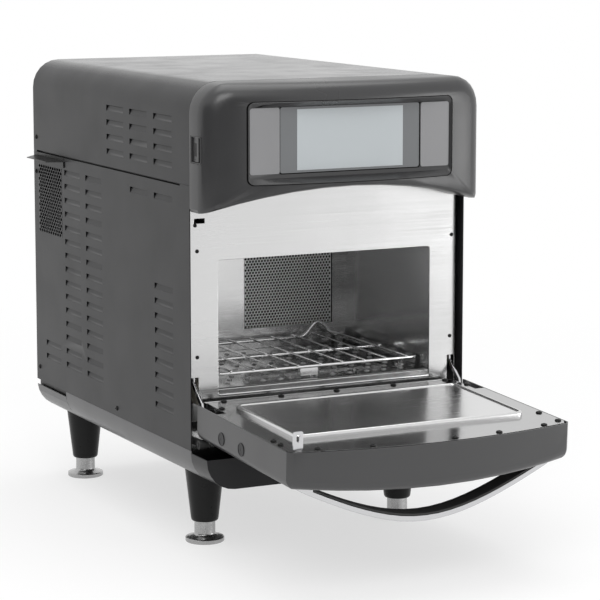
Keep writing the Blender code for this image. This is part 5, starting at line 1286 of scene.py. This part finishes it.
@dataclass
class ControlFront:
    """The bowed housing with the touch panel in its pocket and the memory-stick port in its side.

    The rings of the pocket's pieces are rows of how far a loop lies outside the pocket's rim sideways,
    how far up and down, and how far it stands out of the bowed front.
    """

    dresser: Dresser
    sites: Sites
    edge: float = 0.0009
    glass_edge: float = 0.0004
    bow: float = 0.738
    bow_front: float = -0.07425
    pocket_half: float = 0.1475
    pocket_low: float = 0.4938
    pocket_high: float = 0.5969
    pocket_corner: float = 0.008
    corner_growth: float = 0.001
    foot_setback: float = -0.0575
    side_steps: int = 24
    corner_steps: int = 7
    # The near-black ring round the rim is painted shade of the groove there.
    joint_rings: Triples = (
        (0.0024, 0.0018, -0.0010), (0.0022, 0.0016, 0.0005),
        (0.0008, 0.0008, 0.0005), (0.0006, 0.0006, -0.0010),
    )
    rim_rings: Triples = (
        (0.0008, 0.0008, -0.0010), (0.0008, 0.0008, 0.0006),
        (0.0003, 0.0003, 0.0011), (-0.0003, -0.0003, 0.0007),
    )
    foot_rings: Triples = ((-0.0022, -0.0062, 0.0), (-0.0014, -0.0050, -0.0012))
    gasket_rings: Pairs = ((0.0005, -0.001), (0.0005, 0.0003), (-0.0006, 0.0003), (-0.0007, -0.0001))
    gasket_corner: float = 0.0032
    cheek_gap: float = 0.0008
    cheek_inset: float = 0.0026
    cheek_rise: float = 0.0008
    cheek_margin: float = 0.0006
    port_height: float = 0.537
    port_depth: float = 0.0032
    tray: Plate = Plate(half_width=0.0086, half_height=0.0156, corner=0.001, thickness=0.0010)
    tray_station: float = -0.0148
    slot: Plate = Plate(half_width=0.0036, half_height=0.0085, corner=0.0006, thickness=0.0003)
    slot_station: float = -0.0140
    slot_rise: float = 0.0005
    pin: Plate = Plate(half_width=0.0009, half_height=0.0009, corner=0.0009, thickness=0.0003)
    pin_station: float = -0.0130
    pin_drop: float = 0.0128

    def ring(self, offset: float, drop: float, lift: float, foot: bool = False) -> np.ndarray:
        """A loop round the pocket. Its edge points lie on the bow, y = front + R - sqrt(R^2 - x^2).

        Args:
            offset: how far the loop lies outside the pocket's rim, sideways.
            drop: how far it lies outside the rim, up and down.
            lift: how far it stands out of the bowed front.
            foot: whether the loop lies at the foot of the pocket's walls, and not on the bow.

        Returns:
            The loop's points.
        """
        middle = (self.pocket_low + self.pocket_high) / 2
        half = (self.pocket_high - self.pocket_low) / 2
        steps = self.corner_steps
        radius = self.pocket_corner + min(offset, self.corner_growth)
        corners = rounded_loop(self.pocket_half + offset, half + drop, radius, steps)
        share = np.linspace(0, 1, self.side_steps, endpoint=False)[:, None]
        parts = []
        for k in range(4):
            corner = corners[steps * k : steps * (k + 1)]
            after = corners[steps * (k + 1) % len(corners)]
            parts.extend([corner[:-1], corner[-1] + (after - corner[-1]) * share])
        loop = np.concatenate(parts)
        front = self.bow_front + self.bow - np.sqrt(self.bow**2 - loop[:, 0] ** 2) - lift
        setback = np.maximum(front, self.foot_setback) if foot else front
        return np.stack([loop[:, 0], self.sites.front + setback, loop[:, 1] + middle], axis=-1)

    def pocket(self) -> None:
        """Lines the pocket: a near-black ring round its rim, painted shade of the groove there; a near-black
        gasket round the glass, partly its own black and partly painted shade of the glass's edge; clean
        walls; and lighter cheeks beside the glass, painted light on the pocket's side walls.
        """
        low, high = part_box("touch_glass")
        middle, half = (low[2] + high[2]) / 2, (high[2] - low[2]) / 2
        joint = [self.ring(*row) for row in self.joint_rings]
        gasket = []
        for offset, lift in self.gasket_rings:
            loop = rounded_loop(high[0] + offset, half + offset, self.gasket_corner, self.corner_steps)
            y = np.full(len(loop), low[1] - lift)
            gasket.append(np.stack([loop[:, 0], y, loop[:, 1] + middle], axis=-1))
        walls = [self.ring(*row) for row in self.rim_rings]
        walls += [self.ring(*row, foot=True) for row in self.foot_rings]
        # This near-black is painted shade: the groove round the rim and the glass's edge are dark from
        # shade.
        black = EnamelledCasting("joint_black", grey(0.0015), 0.55, 1.12).material()
        self.dresser.add("pocket_joint", [np.array([*joint, joint[0]])], Slot.RUBBER, look=black)
        self.dresser.add("glass_gasket", [np.array([*gasket, gasket[0]])], Slot.RUBBER, look=black)
        self.dresser.add("pocket_lining", [np.array([*walls, walls[0]])], Slot.HOUSING)
        inner, outer = high[0] + self.cheek_gap, self.pocket_half - self.cheek_inset
        cheek = Plate((outer - inner) / 2, half - self.cheek_margin, corner=0.003, thickness=0.0022)
        places = [(side.value * (inner + outer) / 2, low[1] - self.cheek_rise, middle) for side in Side]
        # A lighter copy of the housing's dark plastic: painted light on the pocket's side walls.
        plastic = MouldedPlastic("cheek_plastic", (0.20, 0.20, 0.205), 0.34).material()
        grids = [cheek.points(place) for place in places]
        self.dresser.add("pocket_cheeks", grids, Slot.HOUSING, look=plastic)

    def port(self) -> None:
        """The memory-stick port's face: a plain tray with thin black plates on it that paint the shade of
        its slot and of a pinhole.
        """
        face = self.port_depth - self.sites.half_width
        proud = face - self.slot_rise
        station, level = self.sites.station, self.port_height
        tray = self.tray.points((face, station(self.tray_station), level), ALONG_Y)
        slot = self.slot.points((proud, station(self.slot_station), level), ALONG_Y)
        pin = self.pin.points((proud, station(self.pin_station), level - self.pin_drop), ALONG_Y)
        self.dresser.add("port_tray", [tray], Slot.HOUSING)
        self.dresser.add("port_slot", [slot, pin], Slot.RUBBER)

    def build(self) -> None:
        """Builds the control front."""
        self.pocket()
        self.port()
        self.dresser.skin("control_housing", self.edge)
        self.dresser.skins(self.glass_edge, "touch_glass", "usb_port")
        self.dresser.paint("display_panel")
        self.dresser.paint("control_board")


@dataclass
class OvenChamber:
    """The steel front, the chamber behind it, its return grille, its sill and its dimpled floor."""

    dresser: Dresser
    edge: float = 0.0006
    plate_edge: float = 0.0003
    rail_edge: float = 0.0004
    grille: Perforation = Perforation(
        columns=29, rows=27, step=0.0047, row_step=0.00407, hole=0.0034, sheet=0.0010
    )
    sill_height: float = 0.2117
    step_rise: float = 0.0041
    step_proud: float = 0.0003
    lip_radius: float = 0.0018
    lip_proud: float = 0.0006
    dimple_radius: float = 0.0042
    dimple_height: float = 0.0016
    dimple_start: tuple[float, float] = (0.022, 0.020)
    dimple_margin: float = 0.015
    dimple_step: tuple[float, float] = (0.026, 0.022)
    front_screw: ButtonScrew = ButtonScrew(radius=0.0026, height=0.0012, socket=0.0010, socket_depth=0.0007)
    front_screws: Pairs = (
        (-0.1900, 0.4365), (-0.1873, 0.4028), (-0.1878, 0.2640), (0.1915, 0.4030), (0.1900, 0.2636),
    )

    def return_grille(self) -> None:
        """Replaces the coarse CAD grille with the fine one, its rows along the chamber's back wall."""
        low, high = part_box("return_grille")
        start = (low[0] + high[0] - self.grille.width) / 2
        bottom = (low[2] + high[2] - self.grille.height) / 2
        patch = self.grille.build("return_mesh", (start, low[1], bottom), ALONG_X)
        mesh = BrushedSteel("mesh_steel", grey(0.85), Brushing.ALONG_X, 0.42).material()
        self.dresser.finish(patch, Slot.DARK_STAINLESS, "cabinet", mesh)
        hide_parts("return_grille")

    def sill(self) -> None:
        """The opening's lower edge: a dark step on the steel front, and a bright rolled lip under it."""
        low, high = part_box("floor_plate")
        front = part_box("front_fascia")[0][1]
        step = Plate(high[0], half_height=0.0021, corner=0.001, thickness=0.0008)
        place = (0.0, front - self.step_proud, self.sill_height + self.step_rise)
        self.dresser.add("sill_step", [step.points(place)], Slot.DARK_STAINLESS)
        x = np.linspace(low[0], high[0], 6)
        path = np.stack([x, np.full(6, front - self.lip_proud), np.full(6, self.sill_height)], axis=-1)
        self.dresser.add("sill_lip", [tube_points(path, self.lip_radius, 12, ALONG_Y)], Slot.STAINLESS)

    def floor(self) -> None:
        """Presses staggered dimples up from the chamber's floor plate, in a pale polished steel that paints
        their highlights.
        """
        # The floor plate gets a darker steel than the chamber's walls.
        darker_floor = BakedSteel("scoured_floor", grey(0.30), grey(0.24), 0.12).material()
        self.dresser.skin("floor_plate", self.plate_edge, look=darker_floor)
        low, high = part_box("floor_plate")
        x = np.arange(low[0] + self.dimple_start[0], high[0] - self.dimple_margin, self.dimple_step[0])
        y = np.arange(low[1] + self.dimple_start[1], high[1] - self.dimple_margin, self.dimple_step[1])
        share = np.linspace(0, 1, 4)
        profile = np.stack([self.dimple_radius * share, self.dimple_height * np.sqrt(1 - share**2)], axis=-1)
        profile = np.concatenate([profile, [[0.0, 0.0]]])
        grids = []
        for row, place in enumerate(y.tolist()):
            for column in (x + self.dimple_step[0] / 2 * (row % 2)).tolist():
                grids.append(turned_points(profile, (column, place, high[2]), ALONG_Z, 12))
        # A much paler, smoother copy of the floor's steel: painted highlight on the dimples.
        painted_highlight = PolishedSteel("worn_bump_steel", grey(0.90), 0.42).material()
        self.dresser.add("floor_dimples", grids, Slot.CHROME, look=painted_highlight)

    def screws(self) -> None:
        """Sets the small screws of the steel front."""
        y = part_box("front_fascia")[0][1]
        spots = [((x, y, z), (0.0, -1.0, 0.0)) for x, z in self.front_screws]
        self.dresser.add("front_screws", self.front_screw.grids(spots), Slot.CAST)

    def build(self) -> None:
        """Builds the chamber."""
        self.dresser.skins(self.edge, "front_fascia", "chamber_liner")
        self.dresser.skin("jet_plate", self.plate_edge)
        self.return_grille()
        self.sill()
        self.floor()
        self.screws()
        self.dresser.skins(self.rail_edge, "rack_rail_left", "rack_rail_right")


@dataclass
class WireRack:
    """The wire rack: frame bars, thinner cross wires laid on them, a raised loop and a small tag."""

    dresser: Dresser
    sites: Sites
    half_width: float = 0.146
    front: float = 0.032
    middle: float = 0.130
    back: float = 0.244
    height: float = 0.238
    frame_wire: float = 0.0025
    wire: float = 0.0015
    overlap: float = 0.0010
    wires: int = 9
    end_margin: float = 0.014
    loop_middle: float = 0.1065
    loop_half: float = 0.028
    loop_rise: float = 0.020
    tag: Plate = Plate(half_width=0.0130, half_height=0.0062, corner=0.0012, thickness=0.0012)
    tag_middle: float = -0.0155
    tag_drop: float = 0.0058

    def bar(self, setback: float, level: float, loop_rise: float = 0.0, steps: int = 4) -> np.ndarray:
        """A frame bar across the rack: z = level + rise (1 + cos(pi s)) / 2.

        s = (x - middle) / half, held within one, so that only the loop is raised.

        Args:
            setback: its place behind the cabinet's front edge.
            level: its height.
            loop_rise: how far its loop stands up.
            steps: points along it.

        Returns:
            A grid of points.
        """
        x = np.linspace(-self.half_width, self.half_width, steps)
        s = np.clip((x - self.loop_middle) / self.loop_half, -1, 1)
        z = level + loop_rise * (1 + np.cos(math.pi * s)) / 2
        path = np.stack([x, np.full(steps, self.sites.station(setback)), z], axis=-1)
        return tube_points(path, self.frame_wire, 12, ALONG_Y)

    def cross_wire(self, x: float) -> np.ndarray:
        """A wire from front to back, with its ends just past the frame bars.

        Args:
            x: its place across the rack.

        Returns:
            A grid of points.
        """
        y = np.linspace(self.front - self.frame_wire - self.overlap, self.back + self.frame_wire, 6)
        path = np.stack([np.full(6, x), self.sites.front + y, np.full(6, self.height)], axis=-1)
        return tube_points(path, self.wire, 10, ALONG_Z)

    def build(self) -> None:
        """Builds the rack as one bright piece."""
        level = self.height - self.wire - self.frame_wire + self.overlap
        grids = [self.bar(self.front, level), self.bar(self.middle, level)]
        grids.append(self.bar(self.back, level, self.loop_rise, 90))
        reach = self.half_width - self.end_margin
        grids.extend(self.cross_wire(float(x)) for x in np.linspace(-reach, reach, self.wires))
        place = (self.tag_middle, self.sites.station(self.front), level - self.tag_drop)
        grids.append(self.tag.points(place))
        bright = PolishedSteel("bright_wire", grey(0.80), 0.14).material()
        rack = self.dresser.add("wire_rack", grids, Slot.CHROME, "rack", bright)
        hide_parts("oven_rack")


@dataclass
class DropDoor:
    """The open door: bowed shell, inner pan, raised plate with a bright rolled rim, screws and plugs."""

    dresser: Dresser
    sites: Sites
    plane: DoorPlane
    edge: float = 0.0008
    handle_edge: float = 0.0012
    pan_edge: float = 0.0005
    tab_edge: float = 0.0006
    hinge_edge: float = 0.0004
    plate_half_width: float = 0.164
    plate_near: float = 0.032
    plate_far: float = 0.209
    plate_corner: float = 0.010
    least_corner: float = 0.0005
    plate_foot: float = -0.001
    rim: float = 0.0056
    rim_height: float = 0.0062
    rim_low: float = 0.35
    rim_turn: float = 0.88
    rim_flat: tuple[float, float] = (1.3, 1.5)
    plate_height: float = 0.0046
    plug_radius: float = 0.0088
    plugs: Pairs = ((-0.086, 0.176), (-0.144, 0.174))
    flange: Plate = Plate(half_width=0.184, half_height=0.0052, corner=0.002, thickness=0.0010)
    flange_reach: float = 0.0110
    flange_drop: float = 0.0006
    screw: ButtonScrew = ButtonScrew(radius=0.0042, height=0.0022, socket=0.0016, socket_depth=0.0012)
    screws: Pairs = (
        (-0.160, -0.008), (-0.077, -0.008), (0.005, -0.008), (0.091, -0.008), (0.171, -0.008),
        (0.190, -0.216), (0.190, -0.261), (0.1855, -0.042), (0.161, -0.274), (0.089, -0.284),
        (0.024, -0.287), (-0.089, -0.284), (-0.157, -0.270), (-0.190, -0.216), (-0.190, -0.236),
        (-0.179, -0.043),
    )

    def raised_plate(self) -> None:
        """The plate that covers the chamber's mouth, with a bead rolled round its edge.

        Loop i of the outline is pulled in by d_i and lifted to h_i over the door's inner face.
        Over the bead d = rim (1 - cos t) / 2 and h = rise (low + (1 - low) sin t), for t up to
        nearly half a turn. The plate lies flat from there to its middle.
        """
        turn = np.linspace(0, math.pi * self.rim_turn, 12)
        flat = [self.rim * share for share in self.rim_flat]
        inset = np.concatenate([[0.0], self.rim * (1 - np.cos(turn)) / 2, flat])
        bead = self.rim_height * (self.rim_low + (1 - self.rim_low) * np.sin(turn))
        height = np.concatenate([[self.plate_foot], bead, [self.plate_height] * 2])
        centre = (self.plate_near + self.plate_far) / 2
        half = (self.plate_far - self.plate_near) / 2
        rows = []
        for d, h in zip(inset, height):
            corner = max(self.plate_corner - d, self.least_corner)
            loop = rounded_loop(self.plate_half_width - d, half - d, corner, 9)
            rows.append(self.on_face(loop, centre, h))
        rows.insert(0, self.on_face(loop * 0.0, centre, self.plate_foot))
        rows.append(self.on_face(loop * 0.0, centre, self.plate_height))
        plate = self.dresser.add("raised_plate", [np.array(rows)], Slot.STAINLESS, "door")
        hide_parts("choke_plate")

    def on_face(self, loop: np.ndarray, centre: float, lift: float) -> np.ndarray:
        """Lays points (across, along) on the door's inner face.

        Args:
            loop: the points.
            centre: where their middle lies, from the hinge line.
            lift: how far they stand over the face.

        Returns:
            The points in the frame.
        """
        origin = self.plane.point(0.0, centre, lift)
        return origin + loop[:, :1] * np.asarray(ALONG_X) + loop[:, 1:] * np.asarray(self.plane.outwards)

    def face_screws(self) -> None:
        """Sets the dark screws round the raised plate."""
        spots = []
        for x, y in self.screws:
            along = (self.plane.hinge_y - self.sites.front - y) / math.sin(self.plane.angle)
            spots.append((tuple(self.plane.point(x, along, 0.0)), self.plane.normal))
        self.dresser.add("door_screws", self.screw.grids(spots), Slot.CAST, "door")

    def hinge_flange(self) -> None:
        """The inner pan's narrow flange that reaches towards the opening, under its lower lip."""
        height = self.plane.hinge_z + self.plane.face - self.flange_drop
        grid = self.flange.points((0.0, self.plane.hinge_y + self.flange_reach, height), ALONG_X, ALONG_Y)
        self.dresser.add("hinge_flange", [grid], Slot.STAINLESS, "door")

    def side_plugs(self) -> None:
        """Round snap-in plugs in the door's side edges, with a groove and a centre dimple."""
        r = self.plug_radius
        profile = np.array([
            [0.0, -0.0006], [r, -0.0006], [r, 0.0005], [r * 0.95, 0.0009], [r * 0.86, 0.0009],
            [r * 0.80, 0.0004], [r * 0.16, 0.0004], [r * 0.10, -0.0002], [0.0, -0.0002],
        ])
        low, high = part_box("door_shell")
        grids = []
        for side, x in ((Side.LEFT, low[0]), (Side.RIGHT, high[0])):
            for y, z in self.plugs:
                grids.append(turned_points(profile, (x, self.sites.station(y), z), side.outwards, 32))
        self.dresser.add("door_side_plugs", grids, Slot.BLACK_PAINT, "door")

    def build(self) -> None:
        """Builds the door."""
        coat = PowderCoat("door_powder_coat", (0.048, 0.048, 0.049), ior=1.46).material()
        liner = BrushedSteel("liner_steel", grey(0.42), Brushing.ALONG_X, 0.14).material()
        self.dresser.skin("door_shell", self.edge, look=coat)
        self.dresser.skin("door_liner", self.pan_edge, look=liner)
        self.dresser.skin("latch_tab", self.tab_edge)
        self.raised_plate()
        self.hinge_flange()
        self.face_screws()
        self.side_plugs()
        self.dresser.skin("handle_bar", self.handle_edge)
        self.dresser.skin("handle_liner", self.tab_edge)
        for side in Side:
            self.dresser.skins(self.hinge_edge, f"hinge_arm_{side.word}", f"hinge_pin_{side.word}")
            self.dresser.skin(f"door_stop_{side.word}", self.pan_edge)


@dataclass
class Stand:
    """Four enamelled tapered legs with bright adjustable feet."""

    dresser: Dresser
    top: float = 0.0997
    leg_top: float = 0.0262
    leg_bottom: float = 0.0182
    leg_end: float = 0.029
    stem: float = 0.0141
    bore: float = 0.0145
    bore_end: float = 0.076
    countersink: float = 0.0055
    stem_end: float = 0.055
    flange: float = 0.0262
    flare_top: float = 0.0118
    flare_drop: float = 0.0058
    flare_margin: float = 0.0006
    steps: int = 64

    def leg_profile(self) -> np.ndarray:
        """Radius and height down the leg's outside, round its lower lip and up its bore."""
        return np.array([
            [0.0, self.top], [self.leg_top - 0.0008, self.top], [self.leg_top, self.top - 0.0008],
            [self.leg_bottom + 0.0006, self.leg_end + 0.0040], [self.leg_bottom, self.leg_end + 0.0012],
            [self.leg_bottom - 0.0010, self.leg_end], [self.leg_bottom - 0.0012, self.leg_end],
            [self.bore, self.leg_end + self.countersink], [self.bore, self.bore_end], [0.0, self.bore_end],
        ])

    def foot_profile(self) -> np.ndarray:
        """Radius and height from the stem's hidden end down its flare to the flange's underside.

        Down the flare r = stem + (flange - stem) s^2.2 and h falls evenly with s.
        """
        share = np.linspace(0, 1, 9)
        radius = self.stem + (self.flange - self.flare_margin - self.stem) * share**2.2
        flare = np.stack([radius, self.flare_top - self.flare_drop * share], axis=-1)
        shoulder = [[self.stem - 0.0005, self.stem_end], [self.stem, self.stem_end - 0.0005]]
        start = [[0.0, self.stem_end], *shoulder]
        end = [[self.flange, 0.0054], [self.flange, 0.0010], [self.flange - 0.0010, 0.0], [0.0, 0.0]]
        return np.concatenate([start, flare, end])

    def build(self) -> None:
        """Builds the four legs and feet."""
        satin = PolishedSteel("satin_foot_steel", grey(0.40), 0.24).material()
        for place in ("front_left", "front_right", "rear_left", "rear_right"):
            low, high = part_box(f"leg_{place}")
            spot = ((low[0] + high[0]) / 2, (low[1] + high[1]) / 2, 0.0)
            grid = turned_points(self.leg_profile(), spot, ALONG_Z, self.steps)
            leg = self.dresser.add(f"enamelled_leg_{place}", [grid], Slot.CAST)
            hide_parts(f"leg_{place}")
            grid = turned_points(self.foot_profile(), spot, ALONG_Z, self.steps)
            body = self.dresser.body(f"foot_{place}")
            foot = self.dresser.add(f"bright_foot_{place}", [grid], Slot.CHROME, body, satin)
            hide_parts(f"foot_{place}")


@dataclass
class PowerBay:
    """The hidden parts behind the chamber, which keep their CAD shape and get their own finish."""

    dresser: Dresser
    # Nodes behind the return grille that get painted shade.
    sooted: tuple[str, ...] = ("blower_box", "blower_wheel", "heater_coil", "catalyst_block")

    def build(self) -> None:
        """Paints every node that no other sub-assembly has dressed, and gives the parts behind the return
        grille a near-black steel that paints the shade behind its holes.
        """
        # Near-black steel on the parts behind the return grille: painted shade, so that the grille's holes
        # read dark.
        painted_shade = BakedSteel("sooted_steel", (0.035, 0.034, 0.033), grey(0.020), 0.55).material()
        for node, item in self.dresser.frame["nodes"].items():
            if not item.hide_render:
                self.dresser.paint(node, painted_shade if node in self.sooted else None)


# Studio


def seen_rays(tree: bpy.types.NodeTree) -> Socket:
    """1 for the rays that look at a background: camera, glossy and transmitted ones. 0 for the rest.

    Args:
        tree: the node tree to add to.

    Returns:
        The value.
    """
    rays = tree.nodes.new("ShaderNodeLightPath")
    value = rays.outputs["Is Camera Ray"]
    for kind in ("Is Glossy Ray", "Is Transmission Ray"):
        either = tree.nodes.new("ShaderNodeMath")
        either.operation = "MAXIMUM"
        tree.links.new(value, either.inputs[0])
        tree.links.new(rays.outputs[kind], either.inputs[1])
        value = either.outputs[0]
    return value


@dataclass(frozen=True)
class Lamp:
    """A large soft light: where it stands, the point it faces, its width and height, and its watts."""

    name: str
    place: Triple
    aim: Triple
    size: tuple[float, float]
    power: float

    def build(self) -> None:
        """Sets up the light."""
        data = bpy.data.lights.new(self.name, "AREA")
        data.shape = "RECTANGLE"
        data.size, data.size_y = self.size
        data.energy = self.power
        lamp = placed(self.name, data)
        lamp.location = self.place
        lamp.rotation_euler = (Vector(self.aim) - Vector(self.place)).to_track_quat("-Z", "Y").to_euler()


@dataclass(frozen=True)
class Flag:
    """An upright black card that only shows in glossy surfaces, and gives them their dark bands."""

    name: str
    start: Triple
    end: Triple
    height: float = 1.25

    def build(self) -> None:
        """Sets up the card: P(i, j) = start + (end - start) i + height j up, for i and j of 0 and 1."""
        share = np.array([0.0, 1.0])
        foot = np.asarray(self.start) + (np.asarray(self.end) - np.asarray(self.start)) * share[:, None]
        points = foot[None] + np.array([0.0, 0.0, self.height]) * share[:, None, None]
        card = mesh_piece(self.name, points, grid_quads(2, 2, closed=False).tolist())
        bench = ShaderBench(self.name + "_cloth")
        bench.tones(bench.noise(scale=30.0), grey(0.010), grey(0.016))
        bench.set("Roughness", 0.95)
        card.data.materials.append(bench.material)
        card.visible_camera = False
        card.visible_diffuse = False
        card.visible_shadow = False


@dataclass
class Studio:
    """A pale floor, soft lights and the camera at the photograph's angle."""

    sites: Sites
    camera_x: float = -1.44357
    camera_setback: float = -2.78314
    camera_height: float = 0.82038
    yaw: float = math.radians(26.6805)
    pitch: float = math.radians(-8.0667)
    lens: float = 143.871
    sensor: float = 36.0
    shift: float = -0.06
    floor_half: float = 45.0
    world_light: float = 0.62
    floor_lift: tuple[float, float] = (0.62, 1.0)
    floor_fade: tuple[float, float] = (0.4, 1.9)
    flags: tuple[Flag, ...] = (
        Flag("front_flag", (0.10, -1.60, 0.0), (-1.40, -1.15, 0.0)),
        Flag("left_flag", (-1.40, -1.15, 0.0), (-1.85, 0.30, 0.0)),
    )
    lamps: tuple[Lamp, ...] = (
        Lamp("key", (-1.6, -2.6, 2.6), (0.0, 0.0, 0.3), (2.2, 2.2), 60.0),
        Lamp("fill", (1.85, -1.55, 0.34), (0.0, -0.1, 0.34), (1.2, 0.6), 10.0),
        Lamp("top", (0.2, 0.2, 3.2), (0.0, 0.0, 0.3), (2.6, 2.6), 45.0),
    )

    def camera(self) -> None:
        """Sets the camera: it looks along (sin yaw cos pitch, cos yaw cos pitch, sin pitch)."""
        data = bpy.data.cameras.new("photo_camera")
        data.lens = self.lens
        data.sensor_width = self.sensor
        data.shift_y = self.shift
        camera = placed("photo_camera", data)
        camera.location = (self.camera_x, self.sites.station(self.camera_setback), self.camera_height)
        level = math.cos(self.pitch)
        look = Vector((math.sin(self.yaw) * level, math.cos(self.yaw) * level, math.sin(self.pitch)))
        camera.rotation_euler = look.to_track_quat("-Z", "Y").to_euler()
        bpy.context.scene.camera = camera

    def world(self) -> None:
        """White where a camera, glossy or transmitted ray sees it, and a softer light elsewhere."""
        world = bpy.data.worlds.new("studio_world")
        bpy.context.scene.world = world
        world.use_nodes = True
        tree = world.node_tree
        background = tree.nodes["Background"]
        background.inputs["Color"].default_value = (1.0, 1.0, 1.0, 1.0)
        level = tree.nodes.new("ShaderNodeMapRange")
        level.inputs["To Min"].default_value = self.world_light
        level.inputs["To Max"].default_value = 1.0
        tree.links.new(seen_rays(tree), level.inputs["Value"])
        tree.links.new(level.outputs["Result"], background.inputs["Strength"])

    def floor(self) -> None:
        """A wide white floor, a grid whose height is zero everywhere, that fades to pure white outwards."""
        x, y = np.meshgrid(*[np.linspace(-self.floor_half, self.floor_half, 3)] * 2)
        points = np.stack([x, y, np.zeros_like(x)], axis=-1)
        floor = mesh_piece("floor", points, grid_quads(3, 3, closed=False).tolist())
        bench = ShaderBench("pale_floor")
        cloud = bench.noise(scale=2.0)
        bench.tones(cloud, grey(0.90), grey(0.93))
        bench.gloss(cloud, 0.85, 0.95)
        distance = bench.node("ShaderNodeVectorMath")
        distance.operation = "LENGTH"
        bench.link(bench.place, distance.inputs[0])
        lift = bench.remap(distance.outputs["Value"], *self.floor_fade, *self.floor_lift)
        white = bench.node("ShaderNodeEmission", Strength=1.0)
        blend = bench.tree.nodes.new("ShaderNodeMixShader")
        bench.link(bench.maths("MULTIPLY", lift, seen_rays(bench.tree)), blend.inputs[0])
        bench.link(bench.shader.outputs["BSDF"], blend.inputs[1])
        bench.link(white.outputs["Emission"], blend.inputs[2])
        bench.link(blend.outputs["Shader"], bench.tree.nodes["Material Output"].inputs["Surface"])
        floor.data.materials.append(bench.material)

    def build(self) -> None:
        """Builds the studio."""
        self.camera()
        self.world()
        self.floor()
        for item in (*self.flags, *self.lamps):
            item.build()
        bpy.context.scene.view_settings.view_transform = "Standard"


def slots_of(record: dict) -> dict[str, Slot]:
    """The record's slot of each node."""
    return {row["node"]: Slot(row["material_slot"]) for row in record["subparts"]}


def main() -> None:
    """Loads the frame, dresses it piece by piece and sets up the studio."""
    logging.basicConfig(level=logging.INFO, format="%(name)s: %(message)s")
    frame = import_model()
    sites = Sites.from_frame()
    dresser = Dresser(frame, FinishShelf(sites), slots_of(frame["record"]))
    Studio(sites).build()
    Casework(dresser, sites).build()
    ControlFront(dresser, sites).build()
    OvenChamber(dresser).build()
    WireRack(dresser, sites).build()
    DropDoor(dresser, sites, DoorPlane(sites.station(HINGE_SETBACK))).build()
    Stand(dresser).build()
    PowerBay(dresser).build()


if __name__ == "__main__":
    main()
